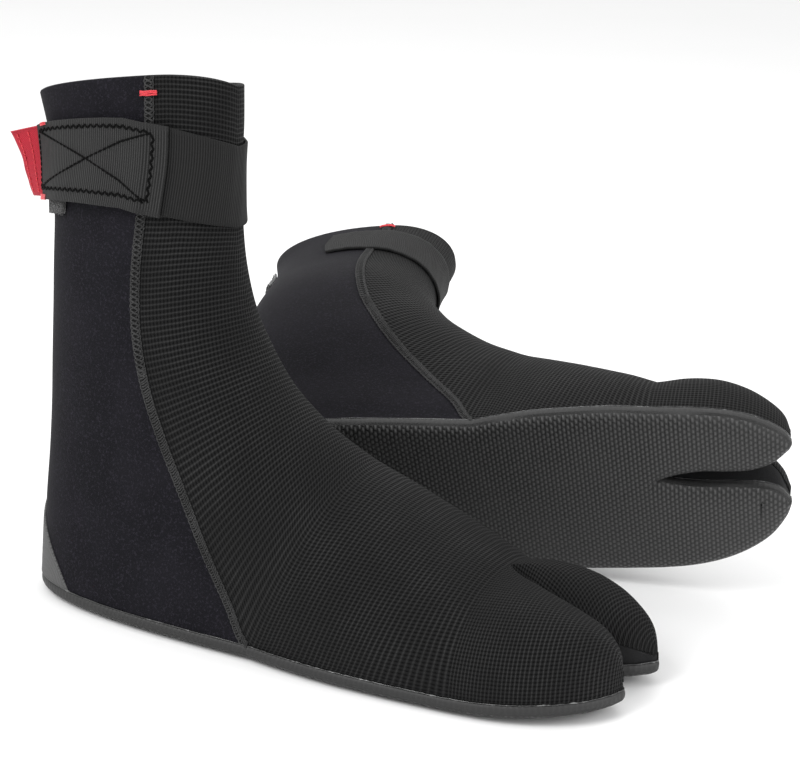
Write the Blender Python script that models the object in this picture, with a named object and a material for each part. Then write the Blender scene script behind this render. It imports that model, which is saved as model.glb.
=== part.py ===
"""Pair of split-toe neoprene surf boots: the right boot stands, the left one lies on its outer side."""
import bpy
import math
import numpy as np
from mathutils import Matrix, Vector

# ---------------------------------------------------------------- driving dimensions (metres)
MM = 0.001
GAP = 0.0003                 # air between neighbouring pieces
NEOPRENE = 0.0030            # sheet of the upper
SOLE_TOP = 0.0060            # thickness of the moulded outsole
SOLE_FLANGE = 0.0006         # how far the outsole stands out beyond the upper
INSOLE = 0.0030
TOE_SPRING = 0.0035          # lift of the toe tips off the floor
SEAM_HALF = 0.0022           # half width of the flatlock cover seam
SEAM_THICK = 0.0008
STRAP_WIDTH = 0.0360
STRAP_MID_Z = 0.2015         # height of the strap's centre line at the heel side
STRAP_DROP = (0.03, 0.16, 0.054)   # the strap drops gently, then faster in front of the side seam
STRAP_SHORT = (0.0085, 0.0197)     # how far short of the heel line each strap end stops, right and left
STRAP_END_THICK = 0.0018
ELASTIC_THICK = 0.0014
HOOK_THICK = 0.0008
LOOP_THICK = 0.0018
TAB_THICK = 0.0016
PEEL_AHEAD = 0.0005          # the strap end peels about a line just ahead of its front stitching
RIM_LIFT = 0.0080            # the outer wall of the soft shaft stands higher than the inner wall
SHAFT_TIP = 0.14             # the soft shaft sags at the back and stands up at the front, per mm from
SHAFT_STILL = 56.0           # this distance in front of the heel
LEFT_LEAN = 0.006            # the shaft of the lying boot is bent back this far at the rim
LEFT_FLOP = 19.0             # and flops this many degrees towards the floor
PITCH = 0.0030               # spacing of the bends in a strap layer
COLS = 12                    # columns along a quarter of a hoop

# hoops of the upper, from the rim down the leg and on along the foot (millimetres):
# height of the side seam, back, outer seam x, inner seam x, front x, front z,
# outer half width, inner half width, back roundness, front roundness, ridge offset
HOOPS = np.array([
    (235.0, -9, 64, 58, 94, 235, 23, 23, 2.1, 2.1, 0),
    (217.0, -4, 65, 59, 94, 217, 24, 24, 2.1, 2.1, 0),
    (199.0, -1, 65, 59, 93, 199, 25, 25, 2.1, 2.1, 0),
    (176.0, 0, 62, 58, 94, 177, 26, 26, 2.1, 2.1, 0),
    (154.0, 0, 61, 59, 96, 159, 28, 28, 2.1, 2.1, 0),
    (132.0, 0, 63, 63, 101, 141, 30, 30, 2.1, 2.1, 0),
    (109.0, 0, 69, 71, 109, 126, 31.5, 31, 2.2, 2.1, 1),
    (87.0, 0, 79, 84, 118, 112, 33, 33, 2.3, 2.1, 2),
    (65.0, 0, 92, 100, 129, 101, 35.5, 34.5, 2.5, 2.1, 4),
    (42.0, 0, 106, 119, 142, 92, 38.5, 36, 2.8, 2.1, 5),
    (22.0, 1, 121, 136, 154, 85, 42.5, 38.5, 3, 2.2, 6),
    (6.3, 1, 133, 147, 163, 81, 46, 40, 3, 2.3, 6),
    (6.3, 1, 150, 160, 177, 75, 48.5, 43.5, 3, 2.3, 7),
    (6.3, 1, 170, 177, 192, 68, 50, 47, 3, 2.3, 8),
    (6.3, 1, 190, 198, 208, 60, 50, 49.5, 3, 2.3, 9),
    (6.3, 1, 210, 214, 220, 54, 49, 50.7, 3, 2.3, 9),
    (6.3, 1, 230, 230, 230, 48, 47.5, 50.5, 3, 2.3, 9),
])
SEAM_END = 11                # hoop at which the side seams reach the sole
# cross rows of the two toe pockets (millimetres):
# outer x, outer y, slit x, slit y, ridge position from outer to slit, height
FOUR_TOES = np.array([
    (230.0, -47.5, 230, 9, 1.00, 48),
    (246, -45.5, 243, 6, 0.80, 46.5),
    (260, -41.5, 256, 4.6, 0.66, 43),
    (272, -35, 268, 4.2, 0.57, 38),
    (282, -26, 279, 3.0, 0.52, 32),
    (288.5, -15, 286.5, 0.0, 0.50, 24.5),
    (291, -7.2, 291, -6.0, 0.50, 15),
])
BIG_TOE = np.array([
    (230.0, 50.5, 230, 9, 1.00, 48),
    (245, 50, 239, 13, 0.76, 46.5),
    (260, 48.5, 251, 15.3, 0.62, 43),
    (273, 45, 263, 15, 0.55, 38),
    (283, 40, 274, 15.5, 0.52, 32),
    (289.5, 34.5, 284, 20, 0.50, 25),
    (292, 30, 291, 27.5, 0.50, 15),
])
SLIT_FOLD = 0.30             # share of the inner slope that still belongs to the toe cover

# where the boots stand (metres, degrees)
RIGHT_TURN = -27.5           # toes to the right and towards the front
LEFT_TOE = (0.965, 0.248, 0.086)
LEFT_UP = (-0.2605, 0.8606, 0.4376)
LEFT_AT = (0.0328, 0.0561, 0.03285)
PAIR_SHIFT = (-0.15938, -0.04813, 0.0)

COLOURS = {
    "sole_rubber": ((0.030, 0.029, 0.029), 0.50),
    "patch_rubber": ((0.085, 0.083, 0.082), 0.62),
    "smooth_jersey": ((0.020, 0.020, 0.024), 0.85),
    "grid_jersey": ((0.030, 0.030, 0.031), 0.88),
    "gusset_jersey": ((0.014, 0.014, 0.016), 0.80),
    "lining": ((0.045, 0.045, 0.048), 0.90),
    "flatlock_thread": ((0.030, 0.030, 0.031), 0.80),
    "webbing": ((0.040, 0.040, 0.041), 0.78),
    "hook_tape": ((0.018, 0.018, 0.019), 0.60),
    "loop_tape": ((0.016, 0.016, 0.017), 0.95),
    "red_tape": ((0.420, 0.030, 0.045), 0.72),
    "red_thread": ((0.520, 0.035, 0.050), 0.65),
}


def clear_scene():
    for item in list(bpy.data.objects):
        bpy.data.objects.remove(item)


def material(name):
    mat = bpy.data.materials.get(name)
    if mat is None:
        colour, rough = COLOURS[name]
        mat = bpy.data.materials.new(name)
        mat.use_nodes = True
        shader = mat.node_tree.nodes["Principled BSDF"]
        shader.inputs["Base Color"].default_value = (*colour, 1.0)
        shader.inputs["Roughness"].default_value = rough
        shader.inputs["Metallic"].default_value = 0.0
        mat.diffuse_color = (*colour, 1.0)
    return mat


def along(keys, t):
    """A smooth curve through the keyed rows at parameter t."""
    i = min(int(t), len(keys) - 2)
    f = t - i
    b, c = keys[i], keys[i + 1]
    a = keys[i - 1] if i > 0 else 2 * b - c
    d = keys[i + 2] if i + 2 < len(keys) else 2 * c - b
    return 0.5 * (2 * b + (c - a) * f + (2 * a - 5 * b + 4 * c - d) * f ** 2 + (3 * b - a - 3 * c + d) * f ** 3)


def quarter(power, steps):
    """A quarter of a rounded oval from the side (1, 0) to the top (0, 1), evenly spaced."""
    angle = np.linspace(0.0, math.pi / 2, 160)
    c = np.cos(angle) ** (2 / power)
    s = np.sin(angle) ** (2 / power)
    run = np.concatenate([[0.0], np.cumsum(np.hypot(np.diff(c), np.diff(s)))])
    want = np.linspace(0.0, run[-1], steps + 1)
    return np.interp(want, run, c), np.interp(want, run, s)


def hoop_ends(h):
    return np.array([h[2], -h[6], h[0]]), np.array([h[3], h[7], h[0]])


def heel_half(h, end):
    """Points from a side seam back to the heel line."""
    c, s = quarter(h[8], COLS)
    back = np.array([h[1], 0.0, h[0]])
    return np.stack([end[0] + (back[0] - end[0]) * s, end[1] * c, np.full_like(c, h[0])], 1)


def front_half(h, end):
    """Points from a side seam (or the sole line) up to the ridge of the foot."""
    c, s = quarter(h[9], COLS)
    top = np.array([h[4], h[10], h[5]])
    return np.stack([end[0] + (top[0] - end[0]) * s, top[1] + (end[1] - top[1]) * c,
                     end[2] + (top[2] - end[2]) * s], 1)


def toe_half(row, from_slit):
    c, s = quarter(2.3, COLS)
    ridge = row[0:2] + (row[2:4] - row[0:2]) * row[4]
    end = row[2:4] if from_slit else row[0:2]
    flat = ridge[None, :] + (end - ridge)[None, :] * c[:, None]
    base = HOOPS[-1][0]
    return np.concatenate([flat, (base + (row[5] - base) * s)[:, None]], 1)


def settle(points):
    """Millimetres to metres, with the toe spring and the lifted outer rim."""
    p = np.array(points, float)
    rise = np.clip((p[..., 2] - 120.0) / 115.0, 0.0, 1.0)
    rise = rise * rise * (3 - 2 * rise)
    side = np.clip(-p[..., 1] / 23.0, 0.0, 1.0)
    spring = np.clip((p[..., 0] - 225.0) / 67.0, 0.0, 1.0)
    tip = SHAFT_TIP * (p[..., 0] - SHAFT_STILL) * MM
    p = p * MM
    p[..., 2] += RIM_LIFT * rise * side + tip * rise + TOE_SPRING * spring * spring * (3 - 2 * spring)
    return p


def vertex_normals(verts, faces):
    normals = np.zeros_like(verts)
    for face in faces:
        corners = verts[list(face)]
        middle = corners.mean(0)
        total = np.zeros(3)
        for k in range(len(face)):
            total += np.cross(corners[k] - middle, corners[(k + 1) % len(face)] - middle)
        for v in face:
            normals[v] += total
    lengths = np.linalg.norm(normals, axis=1)
    return normals / np.maximum(lengths, 1e-12)[:, None]


def slab(verts, faces, normals, low, high):
    """Closed solid between two offsets of an open patch; faces wind outwards."""
    count = len(verts)
    low = np.broadcast_to(np.asarray(low, float).reshape(-1, 1), (count, 1))
    high = np.broadcast_to(np.asarray(high, float).reshape(-1, 1), (count, 1))
    points = np.concatenate([verts + normals * high, verts + normals * low])
    solid = [tuple(f) for f in faces] + [tuple(v + count for v in reversed(f)) for f in faces]
    edges = {}
    for f in faces:
        for k in range(len(f)):
            edges[(f[k], f[(k + 1) % len(f)])] = True
    for a, b in edges:
        if (b, a) not in edges:
            solid.append((b, a, a + count, b + count))
    return points, solid


def grid_faces(rows, cols, first=0):
    faces = []
    for r in range(rows - 1):
        for c in range(cols - 1):
            a = first + r * cols + c
            faces.append((a, a + 1, a + cols + 1, a + cols))
    return faces


class Boot:
    """One boot in its own frame: toes along +X, inner side +Y, sole on Z = 0."""

    def __init__(self, side, mirror, place, short, lean, flop):
        self.side = side
        self.mirror = mirror
        self.place = place
        self.short = short
        self.lean = lean
        self.flop = math.radians(flop)
        self.build_upper()

    # ------------------------------------------------------------ laying down a solid
    def bend(self, points):
        """Leans the soft shaft back and flops it to the outer side."""
        points = np.array(points, float)
        share = np.clip((points[..., 2] - 0.090) / 0.145, 0.0, 1.0)
        points[..., 0] -= self.lean * share * share * (3 - 2 * share)
        height = np.linspace(0.0, 0.26, 261)
        share = np.clip((height - 0.060) / 0.100, 0.0, 1.0)
        turn = self.flop * share * share * (3 - 2 * share)
        step = height[1] - height[0]
        middle_y = -np.concatenate([[0.0], np.cumsum(np.sin(turn[:-1]))]) * step
        middle_z = np.concatenate([[0.0], np.cumsum(np.cos(turn[:-1]))]) * step
        z, y = points[..., 2].copy(), points[..., 1].copy()
        angle = np.interp(z, height, turn)
        below = np.minimum(z, 0.0)
        points[..., 1] = np.interp(z, height, middle_y) + y * np.cos(angle)
        points[..., 2] = np.interp(z, height, middle_z) + y * np.sin(angle) + below
        return points

    def add(self, name, points, faces, slot, pivot=None, smooth=True):
        points = self.bend(points)
        if self.mirror:
            points[:, 1] *= -1
            faces = [tuple(reversed(f)) for f in faces]
        at = np.zeros(3) if pivot is None else self.bend(pivot)
        if self.mirror and pivot is not None:
            at[1] *= -1
        mesh = bpy.data.meshes.new(self.side + "_" + name)
        mesh.from_pydata([tuple(p) for p in points - at], [], faces)
        mesh.materials.append(material(slot))
        for poly in mesh.polygons:
            poly.use_smooth = smooth
        mesh.update()
        item = bpy.data.objects.new(self.side + "_" + name, mesh)
        item.matrix_world = self.place @ Matrix.Translation(Vector(at))
        bpy.context.scene.collection.objects.link(item)
        return item

    # ------------------------------------------------------------ upper: panels and toe pockets
    def build_upper(self):
        seam_rows = [0, 0.6, 1.2, 2, 3, 4, 5, 6, 7, 8, 9, 10, SEAM_END]
        foot_rows = [SEAM_END + 1, SEAM_END + 2, SEAM_END + 3, SEAM_END + 4, SEAM_END + 5]
        heel, front = [], []
        for t in seam_rows:
            h = along(HOOPS, t)
            outer, inner = hoop_ends(h)
            heel.append(np.concatenate([heel_half(h, outer), heel_half(h, inner)[::-1][1:]]))
        for t in seam_rows + foot_rows:
            h = along(HOOPS, t)
            outer, inner = hoop_ends(h)
            front.append(np.concatenate([front_half(h, outer), front_half(h, inner)[::-1][1:]]))
        self.heel = settle(heel)
        self.front = settle(front)
        self.seam_count = len(seam_rows)
        rows, cols = self.front.shape[:2]
        heel_cols = self.heel.shape[1]
        fold = int(round(SLIT_FOLD * COLS))
        self.fold = fold

        # toe cover: leg and instep grid, then two pockets that share its last row
        verts = [p for p in self.front.reshape(-1, 3)]
        faces = grid_faces(rows, cols)
        last = (rows - 1) * cols
        crease = [last + COLS]
        for k in range(1, COLS + 1):
            verts.append(settle(toe_half(FOUR_TOES[0], True)[::-1][k]))
            crease.append(len(verts) - 1)
        self.pocket = {}
        for key, table in (("four", FOUR_TOES), ("big", BIG_TOE)):
            if key == "four":
                previous = [last + c for c in range(COLS + 1)] + crease[1:]
            else:
                previous = [last + 2 * COLS - c for c in range(COLS + 1)] + crease[1:]
            ids = [previous]
            for row in table[1:]:
                line = np.concatenate([toe_half(row, False), toe_half(row, True)[::-1][1:]])
                line = settle(line)
                start = len(verts)
                verts.extend(line)
                ids.append(list(range(start, start + len(line))))
            self.pocket[key] = ids
            for r in range(len(ids) - 1):
                for c in range(2 * COLS):
                    quad = (ids[r][c], ids[r][c + 1], ids[r + 1][c + 1], ids[r + 1][c])
                    faces.append(quad if key == "four" else tuple(reversed(quad)))
        verts = np.array(verts)
        normals = vertex_normals(verts, faces)
        # the heel panel shares its seam columns with the toe cover
        heel_verts = self.heel.reshape(-1, 3)
        heel_faces = [tuple(reversed(f)) for f in grid_faces(self.seam_count, heel_cols)]
        heel_normals = vertex_normals(heel_verts, heel_faces)
        middle = np.array([0.045, 0.0, 0.10])
        probe = heel_normals[(self.seam_count // 2) * heel_cols + COLS]
        if np.dot(probe, heel_verts[(self.seam_count // 2) * heel_cols + COLS] - middle) < 0:
            heel_normals = -heel_normals
            heel_faces = [tuple(reversed(f)) for f in heel_faces]
        probe = normals[6 * cols + COLS]
        if np.dot(probe, verts[6 * cols + COLS] - middle) < 0:
            normals = -normals
            faces = [tuple(reversed(f)) for f in faces]
        for r in range(self.seam_count):
            for hc, fc in ((0, 0), (heel_cols - 1, cols - 1)):
                a, b = r * heel_cols + hc, r * cols + fc
                n = heel_normals[a] + normals[b]
                n /= np.linalg.norm(n)
                heel_normals[a] = n
                normals[b] = n
        # walls meet the sole square, and the pocket tips face forward
        for i, v in enumerate(verts):
            base = settle(np.array([v[0] / MM, 0.0, HOOPS[-1][0]]))[2]
            if v[2] < base + 0.0002:
                normals[i][2] = 0.0
        for i, v in enumerate(heel_verts):
            if v[2] < HOOPS[-1][0] * MM + 0.0002:
                heel_normals[i][2] = 0.0
        for key in ("four", "big"):
            for i in self.pocket[key][-1]:
                normals[i] = normals[i] * 0.25 + np.array([1.0, 0.0, 0.0])
        for c in range(cols):
            normals[c][2] = 0.0
        for c in range(heel_cols):
            heel_normals[c][2] = 0.0
        normals /= np.linalg.norm(normals, axis=1)[:, None]
        heel_normals /= np.linalg.norm(heel_normals, axis=1)[:, None]
        self.verts, self.faces, self.normals = verts, faces, normals
        self.heel_verts, self.heel_faces, self.heel_normals = heel_verts, heel_faces, heel_normals
        self.cols, self.heel_cols = cols, heel_cols

    def pull_in(self, verts, ids, towards, distance):
        """Move boundary points along the surface so two pieces keep their gap."""
        for i, j in zip(ids, towards):
            step = verts[j] - verts[i]
            verts[i] = verts[i] + step / max(np.linalg.norm(step), 1e-9) * distance

    def heel_panel(self):
        verts = self.heel_verts.copy()
        w = self.heel_cols
        rows = range(self.seam_count)
        self.pull_in(verts, [r * w for r in rows], [r * w + 1 for r in rows], GAP / 2)
        self.pull_in(verts, [r * w + w - 1 for r in rows], [r * w + w - 2 for r in rows], GAP / 2)
        self.add("heel_panel", *slab(verts, self.heel_faces, self.heel_normals, -NEOPRENE, 0.0),
                 "smooth_jersey")

    def toe_cover_and_gusset(self):
        fold = self.fold
        cover_cols = COLS + fold
        cover, gusset = [], []
        inner = set()
        for key in ("four", "big"):
            for row in self.pocket[key]:
                inner.update(row[cover_cols + 1:])
        for face in self.faces:
            if any(v in inner for v in face):
                gusset.append(face)
            else:
                cover.append(face)
        self.patch("vamp", cover, "grid_jersey", self.side_seam_shift())
        self.patch("toe_gusset", gusset, "gusset_jersey", {})

    def side_seam_shift(self):
        w = self.cols
        moves = {}
        for r in range(self.seam_count):
            moves[r * w] = r * w + 1
            moves[r * w + w - 1] = r * w + w - 2
        return moves

    def patch(self, name, faces, slot, moves):
        """Neoprene sheet from part of the upper, held back from its neighbours by half a gap."""
        used = sorted({v for f in faces for v in f})
        index = {v: k for k, v in enumerate(used)}
        verts = self.verts[used].copy()
        normals = self.normals[used]
        faces = [tuple(index[v] for v in f) for f in faces]
        edges = {(f[k], f[(k + 1) % len(f)]) for f in faces for k in range(len(f))}
        border = {a for a, b in edges if (b, a) not in edges} | {b for a, b in edges if (b, a) not in edges}
        fold_line = set()
        for key in ("four", "big"):
            for row in self.pocket[key]:
                fold_line.add(row[COLS + self.fold])
            if name == "toe_gusset":
                fold_line.update(self.pocket[key][-1][COLS + self.fold:])
        tips = set(self.pocket["four"][-1]) | set(self.pocket["big"][-1])
        source = verts.copy()
        for v, k in index.items():
            if v in moves:
                step = source[index[moves[v]]] - source[k]
                verts[k] = source[k] + step / np.linalg.norm(step) * GAP / 2
            elif v in fold_line and k in border:
                linked = {b for a, b in edges if a == k} | {a for a, b in edges if b == k}
                inside = [j for j in linked if j not in border]
                if not inside:
                    inside = [j for f in faces if k in f for j in f if j not in border]
                if inside:
                    step = source[inside].mean(0) - source[k]
                    back = 12 * GAP if name == "toe_gusset" and v in tips else 1.5 * GAP
                    verts[k] = source[k] + step / np.linalg.norm(step) * back
        self.add(name, *slab(verts, faces, normals, -NEOPRENE, 0.0), slot)

    # ------------------------------------------------------------ sole and insole
    def plan(self):
        """Outline of the sole as rungs from the outer to the inner edge, heel first."""
        heel = [self.heel[-1][k] for k in range(self.heel.shape[1])]
        left = [p[:2] for p in heel[COLS::-1]]
        right = [p[:2] for p in heel[COLS:]]
        for r in range(self.seam_count, self.front.shape[0]):
            left.append(self.front[r][0][:2])
            right.append(self.front[r][-1][:2])
        four = [np.array(r[:4]) * MM for r in FOUR_TOES]
        big = [np.array(r[:4]) * MM for r in BIG_TOE]
        points = [left[0]]
        lefts, rights = [0], [0]
        for a, b in zip(left[1:], right[1:]):
            points.append(a)
            lefts.append(len(points) - 1)
            points.append(b)
            rights.append(len(points) - 1)
        points.append(four[0][2:])
        crotch = len(points) - 1
        f_out, f_in, b_out, b_in = [lefts[-1]], [crotch], [rights[-1]], [crotch]
        for row in four[1:]:
            points.append(row[:2])
            f_out.append(len(points) - 1)
            points.append(row[2:])
            f_in.append(len(points) - 1)
        for row in big[1:]:
            points.append(row[:2])
            b_out.append(len(points) - 1)
            points.append(row[2:])
            b_in.append(len(points) - 1)
        loop = lefts + f_out[1:] + f_in[::-1] + b_in[1:] + b_out[::-1] + rights[-2:0:-1]
        faces = [(0, rights[1], lefts[1])]
        for k in range(1, len(lefts) - 2):
            faces.append((lefts[k], rights[k], rights[k + 1], lefts[k + 1]))
        faces.append((lefts[-2], rights[-2], rights[-1], crotch, lefts[-1]))
        for k in range(len(f_out) - 1):
            faces.append((f_out[k], f_in[k], f_in[k + 1], f_out[k + 1]))
            faces.append((b_in[k], b_out[k], b_out[k + 1], b_in[k + 1]))
        pairs = [(a, b) for a, b in zip(lefts[1:], rights[1:])]
        pairs += list(zip(f_out[1:], f_in[1:])) + list(zip(b_out[1:], b_in[1:]))
        return np.array(points), loop, faces, pairs

    def shrunk(self, points, loop, pairs, inset):
        ring = points[loop]
        n = len(ring)
        moved = ring.copy()
        for k in range(n):
            a = ring[k] - ring[k - 1]
            b = ring[(k + 1) % n] - ring[k]
            a = a / max(np.linalg.norm(a), 1e-9)
            b = b / max(np.linalg.norm(b), 1e-9)
            t = a + b
            t = t / max(np.linalg.norm(t), 1e-9)
            inward = np.array([t[1], -t[0]])
            moved[k] = ring[k] + inward * inset
        out = points.copy()
        for k, i in enumerate(loop):
            out[i] = moved[k]
        for a, b in pairs:
            width = points[b] - points[a]
            length = np.linalg.norm(width)
            if length < 2.4 * inset and inset > 0:
                unit = width / length
                slide = min(inset, 0.42 * length)
                middle = (out[a] + out[b]) / 2
                half = (length / 2 - slide)
                out[a] = middle - unit * half
                out[b] = middle + unit * half
        return out

    def loop_sign(self, points, loop):
        ring = points[loop]
        area = 0.0
        for k in range(len(ring)):
            p, q = ring[k - 1], ring[k]
            area += p[0] * q[1] - q[0] * p[1]
        return 1 if area > 0 else -1

    def layered(self, name, layers, slot, drop_tip=False):
        points, loop, faces, pairs = self.plan()
        if drop_tip:
            tips = set()
            for pair in (pairs[-1], pairs[-2], pairs[-len(BIG_TOE)], pairs[-len(BIG_TOE) - 1]):
                tips.update(pair)
            faces = [f for f in faces if not any(v in tips for v in f)]
            loop = [v for v in loop if v not in tips]
            pairs = [p for p in pairs if p[0] not in tips]
        sign = self.loop_sign(points, loop)
        count = len(points)
        verts, solid = [], []
        for height, inset in layers:
            ring = self.shrunk(points, loop, pairs, -inset * sign)
            flat = np.concatenate([ring, np.zeros((count, 1))], 1)
            for p in flat:
                lifted = settle(np.array([p[0] / MM, 0.0, 0.0]))[2]
                verts.append((p[0], p[1], height + lifted))
        top = (len(layers) - 1) * count
        up = [tuple(f) for f in faces]
        f0 = up[1]
        a, b, c = (np.array(verts[v]) for v in f0[:3])
        if np.cross(b - a, c - a)[2] < 0:
            up = [tuple(reversed(f)) for f in up]
        for f in up:
            solid.append(tuple(v + top for v in f))
            solid.append(tuple(reversed(f)))
        n = len(loop)
        for level in range(len(layers) - 1):
            for k in range(n):
                a, b = loop[k], loop[(k + 1) % n]
                quad = (a + level * count, b + level * count, b + (level + 1) * count, a + (level + 1) * count)
                solid.append(quad if sign > 0 else tuple(reversed(quad)))
        keep = sorted({v for f in solid for v in f})
        index = {v: k for k, v in enumerate(keep)}
        verts = [verts[v] for v in keep]
        solid = [tuple(index[v] for v in f) for f in solid]
        self.add(name, verts, solid, slot)

    def sole(self):
        out = -SOLE_FLANGE
        self.layered("outsole", [(0.0, 0.0034), (0.0010, 0.0010), (0.0028, out), (SOLE_TOP, out)],
                     "sole_rubber")
        low = HOOPS[-1][0] * MM
        inset = NEOPRENE + 0.0026
        self.layered("insole", [(low, inset), (low + INSOLE, inset)], "lining", drop_tip=True)

    # ------------------------------------------------------------ places on the leg
    def ring(self, height):
        """Closed loop round the leg at a nominal height, starting at the outer seam, front first."""
        heights = [HOOPS[k][0] for k in range(SEAM_END + 1)]
        t = float(np.interp(-height / MM, [-h for h in heights], range(SEAM_END + 1)))
        for _ in range(4):
            t -= (along(HOOPS, t)[0] - height / MM) / (along(HOOPS, t + 0.01)[0] - along(HOOPS, t)[0]) * 0.01
            t = min(max(t, 0.0), SEAM_END - 0.02)
        h = along(HOOPS, t)
        outer, inner = hoop_ends(h)
        front = np.concatenate([front_half(h, outer), front_half(h, inner)[::-1][1:]])
        back = np.concatenate([heel_half(h, inner), heel_half(h, outer)[::-1][1:]])
        loop = np.concatenate([front, back[1:-1]])
        return loop

    def around(self, height, distance, drops=False):
        """Point and outward normal at a distance round the leg from the outer seam."""
        point = None
        z = height
        for _ in range(3):
            loop = self.ring(z)
            closed = np.concatenate([loop, loop[:1]])
            step = np.linalg.norm(np.diff(closed, axis=0), axis=1)
            run = np.concatenate([[0.0], np.cumsum(step)])
            want = (distance / MM) % run[-1]
            point = np.array([np.interp(want, run, closed[:, k]) for k in range(3)])
            ahead = np.array([np.interp((want + 1.5) % run[-1], run, closed[:, k]) for k in range(3)])
            behind = np.array([np.interp((want - 1.5) % run[-1], run, closed[:, k]) for k in range(3)])
            if drops:
                ahead_of_seam = max(point[0] * MM - STRAP_DROP[2], 0.0)
                z = height - STRAP_DROP[0] * point[0] * MM - STRAP_DROP[1] * ahead_of_seam
        tangent = ahead - behind
        normal = np.array([-tangent[1], tangent[0], 0.0])
        normal = -normal / np.linalg.norm(normal)
        if np.dot(normal, point - np.array([45.0, 0.0, point[2]])) < 0:
            normal = -normal
        return settle(point), normal

    def stations(self, start, end):
        """Distances on one shared 3 mm pitch, so stacked layers bend at the same places."""
        low, high = min(start, end), max(start, end)
        first = math.ceil((low + 0.0008) / PITCH)
        last = math.floor((high - 0.0008) / PITCH)
        run = [low] + [k * PITCH for k in range(first, last + 1)] + [high]
        return run if start < end else run[::-1]

    def band(self, start, end, low_z, high_z, drops, levels=3):
        points, normals = [], []
        distances = self.stations(start, end)
        steps = len(distances)
        for d in distances:
            for k in range(levels):
                z = low_z + (high_z - low_z) * k / (levels - 1)
                p, n = self.around(z, d, drops)
                points.append(p)
                normals.append(n)
        faces = grid_faces(steps, levels)
        return np.array(points), faces, np.array(normals)

    def strap_piece(self, name, start, end, low_z, high_z, low, high, slot, drops=True, pivot=None):
        points, faces, normals = self.band(start, end, low_z, high_z, drops)
        a, b, c = (points[v] for v in faces[0][:3])
        if np.dot(np.cross(b - a, c - a), normals[faces[0][0]]) < 0:
            faces = [tuple(reversed(f)) for f in faces]
        low = np.repeat(low, 3) if np.ndim(low) else low
        high = np.repeat(high, 3) if np.ndim(high) else high
        self.add(name, *slab(points, faces, normals, low, high), slot, pivot=pivot)

    # ------------------------------------------------------------ seams
    def seam(self, name, outer):
        w, hw = self.cols, self.heel_cols
        rows = []
        for r in range(self.seam_count):
            if outer:
                seam_at, ahead, behind = r * w, r * w + 1, r * hw + 1
            else:
                seam_at, ahead, behind = r * w + w - 1, r * w + w - 2, r * hw + hw - 2
            p, n = self.verts[seam_at], self.normals[seam_at]
            line = []
            for q in (self.heel_verts[behind], self.verts[ahead]):
                step = q - p
                step = step - n * np.dot(step, n)
                line.append(p + step / np.linalg.norm(step) * SEAM_HALF)
            rows.append((line[0], p, line[1], n))
        rows = rows[:-1]
        points = np.array([q for row in rows for q in row[:3]])
        normals = np.array([row[3] for row in rows for _ in range(3)])
        # side points are lifted clear of the rounded panels
        clear = []
        for row in rows:
            clear += [GAP + 0.0002, GAP, GAP + 0.0002]
        faces = grid_faces(len(rows), 3)
        a, b, c = (points[v] for v in faces[0][:3])
        if np.dot(np.cross(b - a, c - a), normals[faces[0][0]]) < 0:
            faces = [tuple(reversed(f)) for f in faces]
        clear = np.array(clear)
        self.add(name, *slab(points, faces, normals, clear, clear + SEAM_THICK), "flatlock_thread")

    def bartack(self, name, centre):
        z = 0.2275
        self.strap_piece(name, centre - 0.004, centre + 0.004, z - 0.0010, z + 0.0010,
                         0.0016, 0.0026, "red_thread", drops=False)

    # ------------------------------------------------------------ heel patch
    def heel_patch(self):
        rows, cols = 9, 41
        points, normals = [], []
        for r in range(rows):
            f = r / (rows - 1)
            z = 0.0072 + 0.037 * f
            half = 0.052 * (1 - f) ** 0.75 + 0.0018
            centre = -self.heel_distance(z)
            for c in range(cols):
                p, n = self.around(z, centre + half * (2 * c / (cols - 1) - 1))
                points.append(p)
                normals.append(n)
        points, normals = np.array(points), np.array(normals)
        faces = grid_faces(rows, cols)
        a, b, c = (points[v] for v in faces[0][:3])
        if np.dot(np.cross(b - a, c - a), normals[faces[0][0]]) < 0:
            faces = [tuple(reversed(f)) for f in faces]
        self.add("heel_patch", *slab(points, faces, normals, 0.0007, 0.0019), "patch_rubber")

    def heel_distance(self, height):
        """Distance round the leg from the outer seam back to the heel line."""
        loop = self.ring(height)
        closed = np.concatenate([loop[:1], loop[::-1][:COLS]])
        return np.linalg.norm(np.diff(closed, axis=0), axis=1).sum() * MM

    def inner_distance(self, height):
        loop = self.ring(height)
        return np.linalg.norm(np.diff(loop[:2 * COLS + 1], axis=0), axis=1).sum() * MM

    # ------------------------------------------------------------ strap
    def strap(self):
        low_z, high_z = STRAP_MID_Z - STRAP_WIDTH / 2, STRAP_MID_Z + STRAP_WIDTH / 2
        inner = self.inner_distance(STRAP_MID_Z)
        heel = self.heel_distance(STRAP_MID_Z)
        elastic_low = 0.0016
        elastic_high = elastic_low + ELASTIC_THICK
        self.strap_piece("strap_front", 0.0035, inner + 0.030, low_z + 0.0005, high_z - 0.0005,
                         elastic_low, elastic_high, "webbing")
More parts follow.
